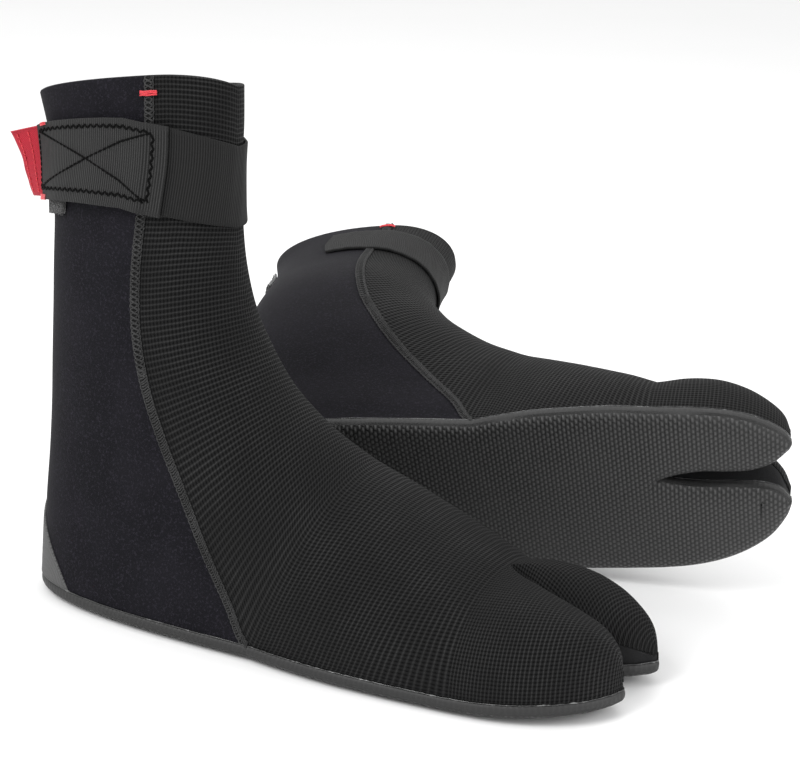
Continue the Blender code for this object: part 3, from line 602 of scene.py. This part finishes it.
def thread(points, normals, radius, sides=6):
    """A thread laid along points on a surface."""
    way = unit(np.gradient(points, axis=0))
    up = unit(normals - way * (normals * way).sum(1, keepdims=True))
    across = np.cross(way, up)
    turn = np.arange(sides) * 2 * math.pi / sides
    radius = np.broadcast_to(np.asarray(radius, float), (len(points),))[:, None, None]
    turn = turn[None, :, None]
    ring = radius * (np.cos(turn) * up[:, None] + np.sin(turn) * across[:, None])
    verts = (points[:, None] + ring).reshape(-1, 3)
    at = np.arange(len(points) * sides).reshape(-1, sides)
    following = np.roll(at, -1, 1)
    side_faces = np.stack([at[:-1], following[:-1], following[1:], at[1:]], -1).reshape(-1, 4)
    k = np.arange(1, sides // 2)
    start = np.stack([at[0][k - 1], at[0][-k], at[0][-k - 1], at[0][k]], -1)
    end = np.stack([at[-1][k], at[-1][-k - 1], at[-1][-k], at[-1][k - 1]], -1)
    return verts, np.concatenate([side_faces, start[:, ::-1], end[:, ::-1]])


def bundle(parts):
    """Joins (points, faces) lists into one."""
    verts, faces, count = [], [], 0
    for points, net in parts:
        verts.append(points)
        faces.append(net + count)
        count += len(points)
    return np.concatenate(verts), np.concatenate(faces)


def short_stitch(t0, d0, t1, d1, inner):
    """One stitch between two spots on the leg, arched a little."""
    f = np.linspace(0, 1, 6)
    points, out = on_leg(t0 + (t1 - t0) * f, d0 + (d1 - d0) * f, inner)
    points = points + out * (0.40 + 0.35 * np.sin(math.pi * f))[:, None]
    return thread(points, out, 0.40)


seam_thread = Look("seam thread", sheen=0.05, specular=0.2)
twist = seam_thread.noise(1800.0, 2.0, 0.6)
shade = seam_thread.noise(60.0)
dark_thread = seam_thread.mix(shade.band(0.35, 0.65), grey(0.009), grey(0.022, 1.02))
seam_thread.colour(seam_thread.mix(twist.band(0.4, 0.75), dark_thread, grey(0.048)))
seam_thread.roughness(0.55 + twist * 0.25)
seam_thread.relief(twist, 0.12)

seam_tape = Look("seam bed", specular=0.2)
seam_tape.speckled(seam_tape.noise(1300.0), (0.3, 0.7), (grey(0.004), grey(0.014)), (0.8, 0.1), 0.15)

BRAID_END = 130.0               # the braid gives way to slanted stitches this far down
BRAID_PITCH = 4.6
CHAIN_PITCH = 2.4
chance = np.random.default_rng(7)


def seam_threads(inner):
    parts = []
    fine_t, run = seam_path(inner, 0.35)
    keep = run < BRAID_END + 2
    for phase in (0.0, math.pi):
        swing = run[keep] * 2 * math.pi / BRAID_PITCH + phase
        across = 1.75 * np.sin(swing)
        points, out = on_leg(fine_t[keep], across, inner)
        parts.append(thread(points + out * (0.75 + 0.25 * np.cos(swing))[:, None], out, 0.42))
    for offset, radius in ((-2.1, 0.38), (2.1, 0.30)):
        points, out = on_leg(fine_t, offset + 0.12 * np.sin(run * 2.1), inner)
        lift = 0.42 + 0.16 * np.cos(run * 2 * math.pi / CHAIN_PITCH)
        parts.append(thread(points + out * lift[:, None], out, radius))
    stitch_t, stitch_run = seam_path(inner, 1.15)
    slope = np.gradient(stitch_t, stitch_run)
    for k in np.flatnonzero(stitch_run > BRAID_END - 2):
        lean = slope[k] * (1.6 + chance.uniform(-0.3, 0.3))
        high = min(stitch_t[k] + lean, SEAM_END)
        parts.append(short_stitch(high, -1.5, stitch_t[k], 2.3 + chance.uniform(-0.2, 0.2), inner))
    return bundle(parts)


for side in SIDES:
    for name, inner in (("seam_outer", False), ("seam_inner", True)):
        t, run = seam_path(inner, 1.0)
        across = np.linspace(-2.3, 2.3, 7)
        strip, out = on_leg(np.repeat(t, 7), np.tile(across, len(t)), inner)
        strip = strip + out * np.tile(0.45 - 0.03 * across ** 2, len(t))[:, None]
        net = grid(len(t), 7) if inner else grid(len(t), 7)[:, ::-1]
        bed_points, bed_faces, _, _ = solid_sheet(strip, net, 0.4, 0.1)
        tape = piece(side, name + "_bed", bed_points, bed_faces, (seam_tape,))
        threads = piece(side, name, *seam_threads(inner), (seam_thread,))
        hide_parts(side + "_" + name)

# ======================================================================== outsole
# A moulded black rubber sole wraps a few millimetres up round the whole foot. Its underside is
# pillowed and covered in small staggered bars, its side has faint upright ribs, and a thin
# glossy line of glue shows where it meets the cloth.

sole_rubber = Look("sole rubber", specular=0.5)
BAR_ROW = 1.95                  # spacing of the rows of bars
BAR_STEP = 3.0                  # spacing of the bars in a row
u, v = sole_rubber.weave()
row = u.math("FLOOR", u / BAR_ROW + 0.5)
odd = row.math("FRACT", row * 0.5) * 2
bars = u.peaks(BAR_ROW, 0.8) * (v + odd * (BAR_STEP / 2)).peaks(BAR_STEP, 0.6)
dust = sole_rubber.noise(40.0, 4.0, 0.6)
grain = sole_rubber.noise(900.0, 2.0, 0.5)
# Painted light: the grooves between the bars are painted near black as painted shade, and the bar tops are
# painted light grey (0.040) as a painted highlight. The dust noise varies the groove tone.
shaded_valley = sole_rubber.mix(dust.band(0.4, 0.7), grey(0.003), grey(0.008))
sole_rubber.colour(sole_rubber.mix(bars.band(0.15, 0.8), shaded_valley, grey(0.040)))
sole_rubber.roughness(0.50 - bars * 0.12 + dust * 0.14)
sole_rubber.relief(bars * 0.9 + grain * 0.1, 0.5)

side_rubber = Look("sole side rubber", specular=0.5)
u, v = side_rubber.weave()
ribs = u.peaks(2.4, 1.5)
scuff = side_rubber.noise(300.0, 4.0, 0.6)
side_rubber.colour(side_rubber.mix(ribs * 0.25 + scuff * 0.5, grey(0.006), grey(0.024)))
side_rubber.roughness(0.42 + scuff * 0.3)
side_rubber.relief(ribs * 0.6 + scuff * 0.4, 0.14)

glue = Look("glue line", specular=0.6, roughness=0.22)
clump = glue.noise(220.0, 3.0, 0.7)
glue.colour(glue.mix(clump.band(0.52, 0.72), grey(0.016), grey(0.15)))
glue.relief(clump, 0.3)


def sole_plan():
    """Outline of the sole with the rungs between its two edges."""
    toe_end = along(HOOPS, [SEAM_END])[0]
    left = [heel_half(toe_end, toe_end[2], -toe_end[6])[::-1, :2]]
    right = [heel_half(toe_end, toe_end[3], toe_end[7])[::-1, :2]]
    foot = along(HOOPS, np.linspace(SEAM_END, len(HOOPS) - 1, 76)[1:])
    left.append(np.column_stack([foot[:, 2], -foot[:, 6]]))
    right.append(np.column_stack([foot[:, 3], foot[:, 7]]))
    left, right = np.concatenate(left), np.concatenate(right)
    four = along(FOUR_TOES, np.linspace(0, 6, 49)[1:])
    big = along(BIG_TOE, np.linspace(0, 6, 49)[1:])
    points = np.concatenate([left, right[1:], [FOUR_TOES[0][2:4]],
                             four[:, :2], four[:, 2:4], big[:, :2], big[:, 2:4]])
    n, m = len(left), len(four)
    left_ids = np.arange(n)
    right_ids = np.concatenate([[0], n + np.arange(n - 1)])
    crotch = 2 * n - 1
    start = crotch + 1
    f_out, f_in, b_out, b_in = (start + k * m + np.arange(m) for k in range(4))
    loop = np.concatenate([left_ids, f_out, f_in[::-1], [crotch], b_in, b_out[::-1], right_ids[:0:-1]])
    faces = [np.stack([left_ids[:-2], left_ids[1:-1], right_ids[1:-1], right_ids[:-2]], -1),
             [[left_ids[-2], left_ids[-1], crotch, crotch],
              [left_ids[-2], crotch, right_ids[-1], right_ids[-2]]]]
    starts = ((f_out, f_in, left_ids[-1], crotch), (b_in, b_out, crotch, right_ids[-1]))
    for a, b, first_a, first_b in starts:
        a = np.concatenate([[first_a], a])
        b = np.concatenate([[first_b], b])
        faces.append(np.stack([a[:-1], a[1:], b[1:], b[:-1]], -1))
    width = np.full(len(points), 60.0)
    for a, b in ((left_ids, right_ids), (f_out, f_in), (b_out, b_in)):
        gap = np.linalg.norm(points[a] - points[b], axis=1)
        width[a] = np.minimum(width[a], gap + (60.0 if a is left_ids else 0.0))
        width[b] = width[a]
    return points, loop, np.concatenate(faces), width


PLAN, OUTLINE, RUNGS, PLAN_WIDTH = sole_plan()


def outline_inset(inset):
    """The plan with its outline moved inwards, and at the narrow toe tips backwards too."""
    ring = PLAN[OUTLINE]
    way = unit(np.roll(ring, -2, 0) - np.roll(ring, 2, 0))
    inward = np.column_stack([-way[:, 1], way[:, 0]])
    room = np.minimum(inset, 0.30 * PLAN_WIDTH[OUTLINE]) if inset > 0 else np.full(len(ring), inset)
    back = np.maximum(inset - room, 0.0)
    moved = PLAN.copy()
    moved[OUTLINE] = ring + inward * room[:, None] - np.column_stack([back, 0 * back])
    return moved


# height of the sole's section from its top down, and how far in from the outline
EDGE = ((7.3, 0.9), (7.2, 0.0), (6.7, -0.75), (5.4, -1.0), (3.9, -0.9), (2.6, -0.3), (1.6, 0.8), (0.9, 2.2),
        (0.45, 4.0), (0.15, 6.5), (0.0, 9.5))
UNDERSIDE = 3.0                 # below this height the sole carries bars, above it ribs
GLUE_HEIGHT = 7.35


def sole_mesh():
    points, cloth = [], []
    ring = PLAN[OUTLINE]
    run = np.concatenate([[0.0], np.cumsum(np.linalg.norm(np.diff(ring, axis=0), axis=1))])
    length = np.zeros(len(PLAN))
    length[OUTLINE] = run
    for height, inset in EDGE:
        moved = outline_inset(inset)
        level = np.full(len(moved), height)
        points.append(np.column_stack([moved, level]))
        cloth.append(moved if height < UNDERSIDE else np.column_stack([length, level]))
    count = len(PLAN)
    faces, kind = [], []
    a, b = OUTLINE, np.roll(OUTLINE, -1)
    for k in range(len(EDGE) - 1):
        low = (k + 1) * count
        faces.append(np.stack([a + low, b + low, b + k * count, a + k * count], -1))
        kind.append(np.full(len(a), 0 if EDGE[k][0] < UNDERSIDE else 1))
    faces += [RUNGS, RUNGS[:, ::-1] + (len(EDGE) - 1) * count]
    kind += [np.ones(len(RUNGS), int), np.zeros(len(RUNGS), int)]
    points = np.concatenate(points)
    points[:, 2] += spring_at(points[:, 0])
    return points, np.concatenate(faces), np.concatenate(cloth), np.concatenate(kind)


for side in SIDES:
    points, faces, cloth, kind = sole_mesh()
    sole = piece(side, "outsole", points, faces, (sole_rubber, side_rubber), cloth, kind)
    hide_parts(side + "_outsole")
    rim = outline_inset(-0.35)[OUTLINE]
    ragged = chance.uniform(-1, 1, len(rim))
    path = np.column_stack([rim, GLUE_HEIGHT + 0.12 * ragged + spring_at(rim[:, 0])])
    bead = thread(path, np.tile([0.0, 0.0, 1.0], (len(path), 1)), 0.30 + 0.13 * np.roll(ragged, 3))
    line_of_glue = piece(side, "glue_line", *bead, (glue,))

# ======================================================================== insole
# Inside lies a loose 3 mm footbed faced with the same grey knit as the lining.

for side in SIDES:
    base = outline_inset(4.6)
    layers = [np.column_stack([base, np.full(len(base), z)]) for z in (9.2, 6.4)]
    count = len(PLAN)
    a, b = OUTLINE, np.roll(OUTLINE, -1)
    points = np.concatenate(layers)
    points[:, 2] += spring_at(points[:, 0])
    rim = np.stack([a + count, b + count, b, a], -1)
    faces = np.concatenate([RUNGS, RUNGS[:, ::-1] + count, rim])
    footbed = piece(side, "insole", points, faces, (lining,))
    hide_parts(side + "_insole")

# ======================================================================== heel patch
# A pointed patch of thin grey rubber with a fine diagonal cross-hatch is glued over the back
# of the heel and runs down behind the edge of the sole.

hatch_rubber = Look("hatched grey rubber", specular=0.45)
u, v = hatch_rubber.weave()
hatch = (u + v).peaks(1.3, 1.2) * 0.5 + (u - v).peaks(1.3, 1.2) * 0.5
dirt = hatch_rubber.noise(90.0, 4.0, 0.6)
hatch_rubber.colour(hatch_rubber.mix(hatch * 0.7 + dirt * 0.3, grey(0.030), grey(0.105)))
hatch_rubber.roughness(0.55 + dirt * 0.2 - hatch * 0.1)
hatch_rubber.relief(hatch, 0.35)


def hoop_at(height):
    """Hoop parameter at which the side seam has this height."""
    heights = LEG_HOOPS[:, 0]
    return np.interp(-np.asarray(height, float), -heights, np.linspace(0, SEAM_END, len(heights)))


def heel_run(t):
    """Distance from the outer seam back to the heel line at a hoop."""
    row = np.round(np.asarray(t) * (len(LEG_RINGS) - 1) / SEAM_END).astype(int)
    return LEG_RUN[row, -1] - LEG_RUN[row, 3 * FINE]


PATCH_LOW = 7.2
PATCH_TALL = 37.0
PATCH_HALF = 52.0               # half of its width at the sole

for side in SIDES:
    rows, cols = 32, 41
    share = np.linspace(0, 1, rows)
    height = PATCH_LOW + PATCH_TALL * share
    half = PATCH_HALF * (1 - share) ** 0.75 + 1.6
    across = np.linspace(-1, 1, cols)
    t = np.repeat(hoop_at(height), cols)
    d = -heel_run(t) + np.repeat(half, cols) * np.tile(across, rows)
    strip, out = on_leg(t, d)
    edge_fall = 0.45 * np.tile(np.abs(across) ** 6, rows)
    strip = strip + out * (1.25 - edge_fall)[:, None]
    points, faces, source, _ = solid_sheet(strip, grid(rows, cols), 1.1, 0.5)
    cloth = np.column_stack([d, np.repeat(height, cols)])
    patch = piece(side, "heel_patch", points, faces, (hatch_rubber,), cloth[source])
    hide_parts(side + "_heel_patch")

# ======================================================================== elastic of the strap
# The front of the ankle strap is a flat woven elastic with fine upright ribs and a plain edge.
# It is caught in the inner side of the boot, lies round the front of the ankle and ends
# under the stiffer strap end.

STRAP_LOW = 183.5
STRAP_HIGH = 219.5


def strap_drop(x):
    """The strap drops gently, then faster in front of the side seam."""
    return -0.03 * x - 0.16 * np.maximum(x - 54.0, 0.0)


def on_strap(d, z, lift):
    """Points round the leg at strap heights, lifted off the leg, with the outward direction."""
    d, z, lift = np.broadcast_arrays(np.asarray(d, float), np.asarray(z, float), np.asarray(lift, float))
    here = leg_spot(hoop_at(z), d.astype(float), False)
    for _ in range(2):
        t = hoop_at(z + strap_drop(here[:, 0]))
        here = leg_spot(t, d.astype(float), False)
    here, out = on_leg(t, d)
    return here + out * lift[:, None], out


def strap_strip(d, low, high, lift, thick, edge=0.35, crown=0.0):
    """A strip of webbing: points, faces, cloth distances; lift is of its outer face."""
    rows = 14
    z = np.linspace(low, high, rows)
    lift = np.broadcast_to(np.asarray(lift, float), d.shape)
    bow = crown * (1 - np.linspace(-1, 1, rows) ** 2)
    cloth = np.column_stack([np.repeat(d, rows), np.tile(z, len(d))])
    strip, out = on_strap(cloth[:, 0], cloth[:, 1], np.repeat(lift, rows) + np.tile(bow, len(d)))
    points, faces, source, _ = solid_sheet(strip, grid(len(d), rows)[:, ::-1], thick, edge, out)
    return points, faces, cloth[source]


elastic = Look("ribbed elastic", sheen=0.03, specular=0.12)
u, v = elastic.weave()
cord_rib = u.peaks(1.05, 0.8)
pick = v.peaks(0.7, 1.0)
yarn = elastic.noise(900.0, 3.0, 0.6)
selvage = v.band(STRAP_HIGH - 2.4, STRAP_HIGH - 1.6) + v.band(STRAP_LOW + 2.6, STRAP_LOW + 1.8)
tone = elastic.mix(cord_rib * 0.75 + yarn * 0.25, grey(0.0012), grey(0.021))
elastic.colour(elastic.mix(selvage * 0.6, tone, grey(0.012)))
elastic.roughness(0.62 + yarn * 0.15)
elastic.relief(cord_rib * 0.8 + pick * 0.15 + yarn * 0.1, 0.28)

INNER_RUN = float(np.interp(hoop_at(201.5), np.linspace(0, SEAM_END, len(LEG_RUN)), LEG_RUN[:, 2 * FINE]))
HEEL_RUN = float(heel_run(hoop_at(201.5)))

for side in SIDES:
    d = np.arange(3.5, INNER_RUN + 30.0, 0.9)
    wave = 0.12 * np.sin(d * 0.31) + 0.08 * np.sin(d * 0.83 + 1)
    points, faces, cloth = strap_strip(d, STRAP_LOW + 0.6, STRAP_HIGH - 0.6, 2.0 + wave, 1.4)
    band = piece(side, "strap_front", points, faces, (elastic,), cloth)
    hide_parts(side + "_strap_front")

# ======================================================================== loop patch
# On the heel side the strap closes on a rectangle of black loop tape, sewn flat to the boot.
# Its nap stands up as a fuzz, and a little of it shows below the strap and round the back.

loop_nap = Look("loop tape nap", sheen=0.5, sheen_roughness=0.6, specular=0.15)
loop_nap.speckled(loop_nap.noise(1100.0, 4.0, 0.8), (0.35, 0.75), (grey(0.004), grey(0.030)),
                  (0.9, 0.1), 0.6)

LOOP_TOP = 2.4
start, end = -HEEL_RUN - 4.0, -HEEL_RUN + 31.0
for side in SIDES:
    d = np.arange(start, end, 0.9)
    face = LOOP_TOP - 0.5 + 0.15 * np.sin(d * 0.9)
    parts = [strap_strip(d, STRAP_LOW - 6.0, STRAP_HIGH - 2.0, face, 1.3, edge=0.6)[:2]]
    count = 2600
    at_d = chance.uniform(start + 0.3, end - 0.3, count)
    at_z = chance.uniform(STRAP_LOW - 5.8, STRAP_HIGH - 2.2, count)
    at_z[:900] = chance.uniform(STRAP_LOW - 6.2, STRAP_LOW - 1.0, 900)
    lean = chance.uniform(-0.9, 0.9, (count, 2))
    foot, out = on_strap(at_d, at_z, LOOP_TOP - 0.6)
    head, _ = on_strap(at_d + lean[:, 0], at_z + lean[:, 1], LOOP_TOP + 0.05)
    for a, b, n in zip(foot, head, out):
        bend = np.stack([a, (a + b) / 2 + n * 0.35, b, (a + b) / 2 + (b - a) * 0.3 - n * 0.3])
        parts.append(thread(bend, np.tile(n + 0.01, (4, 1)), 0.09, sides=4))
    nap = piece(side, "loop_patch", *bundle(parts), (loop_nap,))
    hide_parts(side + "_loop_patch")

# ======================================================================== strap end
# The free end of the strap is charcoal webbing with upright ribs and firm edges. It is sewn
# over the elastic and over the hook tape with black thread, in a box crossed by an X.

webbing = Look("ribbed webbing", sheen=0.03, specular=0.15)
u, v = webbing.weave()
cord_rib = u.peaks(1.15, 1.3)
pick = (v + cord_rib * 0.2).peaks(0.62, 1.0)
yarn = webbing.noise(850.0, 3.0, 0.6)
selvage = v.band(STRAP_HIGH - 2.2, STRAP_HIGH - 1.5) + v.band(STRAP_LOW + 2.6, STRAP_LOW + 1.9)
# Painted light: the rib tops are painted light grey and the grooves between them nearly black, a painted
# highlight and painted shade that follow the rib relief. The yarn noise adds tone that varies at random.
tone = webbing.mix(cord_rib * 0.75 + yarn * 0.25, grey(0.0015), grey(0.040))
webbing.colour(webbing.mix(selvage * 0.7, tone, grey(0.019)))
webbing.roughness(0.58 + yarn * 0.18)
webbing.relief(cord_rib * 0.8 + pick * 0.2 + yarn * 0.12, 0.40)

box_thread = Look("black box stitching", specular=0.06)
box_thread.speckled(box_thread.noise(2200.0), (0.4, 0.7), (grey(0.0004), grey(0.0024)), (0.45, 0.2))

STRAP_FRONT = 10.0
STRAP_BACKS = {"right": -HEEL_RUN + 8.5, "left": -HEEL_RUN + 19.7}


def strap_face(d):
    """Lift of the strap end's outer face: low over the elastic, higher over the tapes."""
    return 3.9 + 1.4 * ease(np.clip((3.5 - np.asarray(d, float)) / 4.0, 0.0, 1.0))


def strap_stitch(a, b):
    """One stitch on the strap end from a to b, each (distance, height)."""
    f = np.linspace(0, 1, 6)
    d = a[0] + (b[0] - a[0]) * f
    z = a[1] + (b[1] - a[1]) * f
    points, out = on_strap(d, z, strap_face(d) - 0.16 + 0.36 * np.sin(math.pi * f))
    return thread(points, out, 0.48)


def run_of_stitches(a, b, length, gap, sway):
    """Stitches along a line; sway swings every other needle hole to the side."""
    a, b = np.array(a, float), np.array(b, float)
    way = (b - a) / np.linalg.norm(b - a)
    across = np.array([-way[1], way[0]])
    holes = np.arange(0, np.linalg.norm(b - a), length)
    made = []
    for k, (p, q) in enumerate(zip(holes[:-1], holes[1:])):
        swing = across * (sway if k % 2 else -sway)
        made.append(strap_stitch(a + way * (p + gap / 2) + swing, a + way * (q - gap / 2) - swing))
    return made


BOX_FRONT = STRAP_FRONT - 6.2
BOX_LOW = STRAP_LOW + 5.4
BOX_HIGH = STRAP_HIGH - 3.4
for side in SIDES:
    back = STRAP_BACKS[side]
    box_back = back + 3.2
    d = np.concatenate([[back], np.arange(back + 0.6, STRAP_FRONT - 0.4, 0.7), [STRAP_FRONT]])
    wave = 0.10 * np.sin(d * 0.27 + 2)
    face = strap_face(d) + wave - 0.05
    points, faces, cloth = strap_strip(d, STRAP_LOW, STRAP_HIGH, face, 1.8, crown=0.12)
    end = piece(side, "strap_end", points, faces, (webbing,), cloth, body="strap_flap")
    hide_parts(side + "_strap_end")
    low_back, high_back = (box_back, BOX_LOW), (box_back, BOX_HIGH)
    low_front, high_front = (BOX_FRONT, BOX_LOW), (BOX_FRONT, BOX_HIGH)
    sewing = []
    for a, b in ((high_back, high_front), (low_back, low_front), (low_front, high_front)):
        sewing += run_of_stitches(a, b, 1.75, 0.0, 0.65)
    for a, b, gap in ((low_back, high_back, 0.7), (low_back, high_front, 0.5), (high_back, low_front, 0.5)):
        sewing += run_of_stitches(a, b, 2.6, gap, 0.0)
    box = piece(side, "strap_box_stitching", *bundle(sewing), (box_thread,), body="strap_flap")

# ======================================================================== hook patch
# The inner face of the strap end carries stiff hook tape: a thin woven back with rows of tiny
# hooks that grip the loop patch.

hook_tape = Look("hook tape", specular=0.4)
u, v = hook_tape.weave()
hooks = u.peaks(1.3, 2.0) * v.peaks(1.3, 2.0)
gleam = hook_tape.noise(600.0)
hook_tape.colour(hook_tape.mix(hooks, grey(0.006), grey(0.040)))
hook_tape.roughness(0.42 + gleam * 0.25)
hook_tape.relief(hooks, 0.5)

for side in SIDES:
    d = np.arange(STRAP_BACKS[side] + 5.0, -4.5, 0.9)
    points, faces, cloth = strap_strip(d, STRAP_LOW + 3.0, STRAP_HIGH - 3.0, 3.4, 0.8, edge=0.2)
    hooks_side = piece(side, "hook_patch", points, faces, (hook_tape,), cloth, body="strap_flap")
    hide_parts(side + "_hook_patch")

# ======================================================================== pull tab
# A folded piece of bright red tape is sewn into the free end of the strap to pull it open by.
# It is wider at the top, and two rows of red stitches hold the fold.

red_tape = Look("red tape", sheen=0.25, specular=0.3)
u, v = red_tape.weave()
twill = (u + v).peaks(0.8, 1.0)
fleck = red_tape.noise(900.0, 3.0, 0.6)
red_tape.colour(red_tape.mix(twill * 0.35 + fleck * 0.4, (0.30, 0.003, 0.014, 1), (0.52, 0.010, 0.032, 1)))
red_tape.roughness(0.6 + fleck * 0.2)
red_tape.relief(twill * 0.6 + fleck * 0.4, 0.2)

red_thread = Look("red thread", sheen=0.2, specular=0.45)
red_thread.speckled(red_thread.noise(2000.0), (0.35, 0.7),
                    ((0.42, 0.006, 0.014, 1), (0.74, 0.030, 0.050, 1)), (0.45, 0.2), 0.1)


def tab_spot(back, across, up):
    """Middle of the tab: across from the sewn edge (0) to the fold (1), up from 0 to 1."""
    across, up = np.broadcast_arrays(np.asarray(across, float), np.asarray(up, float))
    z = STRAP_LOW + 1.2 + (STRAP_HIGH - STRAP_LOW - 1.6) * up
    lift = np.full(z.shape, 4.4)
    edge, out = on_strap(np.full(z.shape, back), z, lift)
    near, _ = on_strap(np.full(z.shape, back + 2.0), z, lift)
    away = unit(edge - near)
    lean = unit(away * 0.55 + out * 0.83)
    reach = 7.6 + 6.6 * up + 0.5 * np.sin(up * 7.0)
    point = edge + lean * (across * reach - 1.2)[:, None] + out * (0.5 * np.sin(across * 2.4))[:, None]
    return point, unit(out * 0.55 - away * 0.83)


for side in SIDES:
    cols, rows = 14, 30
    share = np.tile(np.linspace(0, 1, cols), rows)
    up = np.repeat(np.linspace(0, 1, rows), cols)
    middle, out = tab_spot(STRAP_BACKS[side], share, up)
    ripple = 0.15 * np.sin(up * 19) * share
    strip = middle + out * (0.8 + ripple)[:, None]
    points, faces, source, _ = solid_sheet(strip, grid(rows, cols)[:, ::-1], 1.6, 0.6, out)
    cloth = np.column_stack([share * 9.0, up * 34.0])
    tab = piece(side, "pull_tab", points, faces, (red_tape,), cloth[source], body="tab")
    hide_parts(side + "_pull_tab")
    rows_of_thread = []
    for column in (0.42, 0.80):
        for k in range(11):
            f = np.linspace(0, 1, 6)
            height = 0.05 + 0.9 * (k + 0.15 + 0.7 * f) / 11
            point, out = tab_spot(STRAP_BACKS[side], np.full(6, column), height)
            lift = 0.70 + 0.3 * np.sin(math.pi * f)
            rows_of_thread.append(thread(point + out * lift[:, None], out, 0.32))
    tab_rows = piece(side, "pull_tab_stitching", *bundle(rows_of_thread), (red_thread,), body="tab")

# ======================================================================== red bar tacks
# Short bars of dense red thread lock the ends: one wraps the strap's lower back corner where
# the tab is caught, a small one sits at its upper corner, and one crosses each side seam
# below the rim.


def bar(d0, d1, z0, z1, lift, count, place):
    """Satin stitches side by side from d0 to d1, between two heights."""
    made = []
    f = np.linspace(0, 1, 8)
    for k in range(count):
        z = z0 + (z1 - z0) * (k + 0.5) / count + chance.uniform(-0.08, 0.08)
        d = d0 + (d1 - d0) * f
        points, out = place(d, z + 0.10 * np.sin(f * 9 + k))
        bulge = lift - 0.5 + 0.75 * np.sin(math.pi * f) ** 0.5
        made.append(thread(points + out * bulge[:, None], out, 0.42))
    return made


def strap_place(d, z):
    return on_strap(d, z, strap_face(d))


def rim_place(inner):
    return lambda d, z: on_leg(hoop_at(z), d, inner)


for side in SIDES:
    back = STRAP_BACKS[side]
    lower = bar(back - 1.2, back + 9.5, STRAP_LOW - 0.2, STRAP_LOW + 2.6, 0.35, 4, strap_place)
    upper = bar(back + 5.0, back + 9.6, STRAP_HIGH - 1.3, STRAP_HIGH + 0.2, 0.30, 2, strap_place)
    for name, threads in (("tab_bartack_lower", lower), ("tab_bartack_upper", upper)):
        tack = piece(side, name, *bundle(threads), (red_thread,), body="strap_flap")
        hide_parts(side + "_" + name)
    for name, inner in (("bartack_outer", False), ("bartack_inner", True)):
        tack = piece(side, name, *bundle(bar(-4.2, 4.2, 226.3, 228.7, 1.5, 3, rim_place(inner))),
                     (red_thread,))
        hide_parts(side + "_" + name)

# ======================================================================== studio
# The pair stands on a wide, flat, plain white floor disc, lit by large soft lights.

bpy.context.scene.view_settings.view_transform = "Standard"
floor_look = Look("white floor", specular=0.2)
haze = floor_look.noise(3.0)
floor_look.colour(floor_look.mix(haze, grey(0.86), grey(0.88)))
floor_look.roughness(0.7 + haze * 0.1)
bpy.ops.mesh.primitive_circle_add(vertices=96, radius=14.0, fill_type="NGON", location=(0, 0, -0.0004))
floor = bpy.context.object
floor.name = "floor"
floor.data.materials.append(floor_look.material)

world = bpy.data.worlds.new("studio")
bpy.context.scene.world = world
world.use_nodes = True
world.node_tree.nodes["Background"].inputs[0].default_value = (1.0, 1.0, 1.0, 1.0)
world.node_tree.nodes["Background"].inputs[1].default_value = 1.0


def soft_light(name, place, target, size, power):
    light = bpy.data.lights.new(name, "AREA")
    light.shape = "RECTANGLE"
    light.size, light.size_y = size
    light.energy = power
    item = bpy.data.objects.new(name, light)
    item.location = place
    item.rotation_euler = (Vector(target) - Vector(place)).to_track_quat("-Z", "Y").to_euler()
    bpy.context.scene.collection.objects.link(item)


soft_light("key", (-1.1, -1.0, 1.5), (-0.05, 0, 0.1), (1.0, 1.0), 24.0)
soft_light("fill", (1.5, -0.9, 0.9), (0.05, 0, 0.08), (0.9, 1.2), 12.0)
soft_light("top", (0.2, 0.7, 1.7), (0, 0, 0.1), (1.6, 0.9), 7.0)

CAMERA_AT = (-0.0015, -1.0011, 0.3702)
CAMERA_DOWN = 16.09             # degrees below the horizon
CAMERA_TURN = 2.37
camera = bpy.data.cameras.new("camera")
camera.sensor_width = 36.0
camera.lens = 95.75
view = bpy.data.objects.new("camera", camera)
view.matrix_world = (Matrix.Translation(CAMERA_AT)
                     @ Matrix.Rotation(math.radians(90.0 - CAMERA_DOWN), 4, "X")
                     @ Matrix.Rotation(math.radians(CAMERA_TURN), 4, "Z"))
bpy.context.scene.collection.objects.link(view)
bpy.context.scene.camera = view
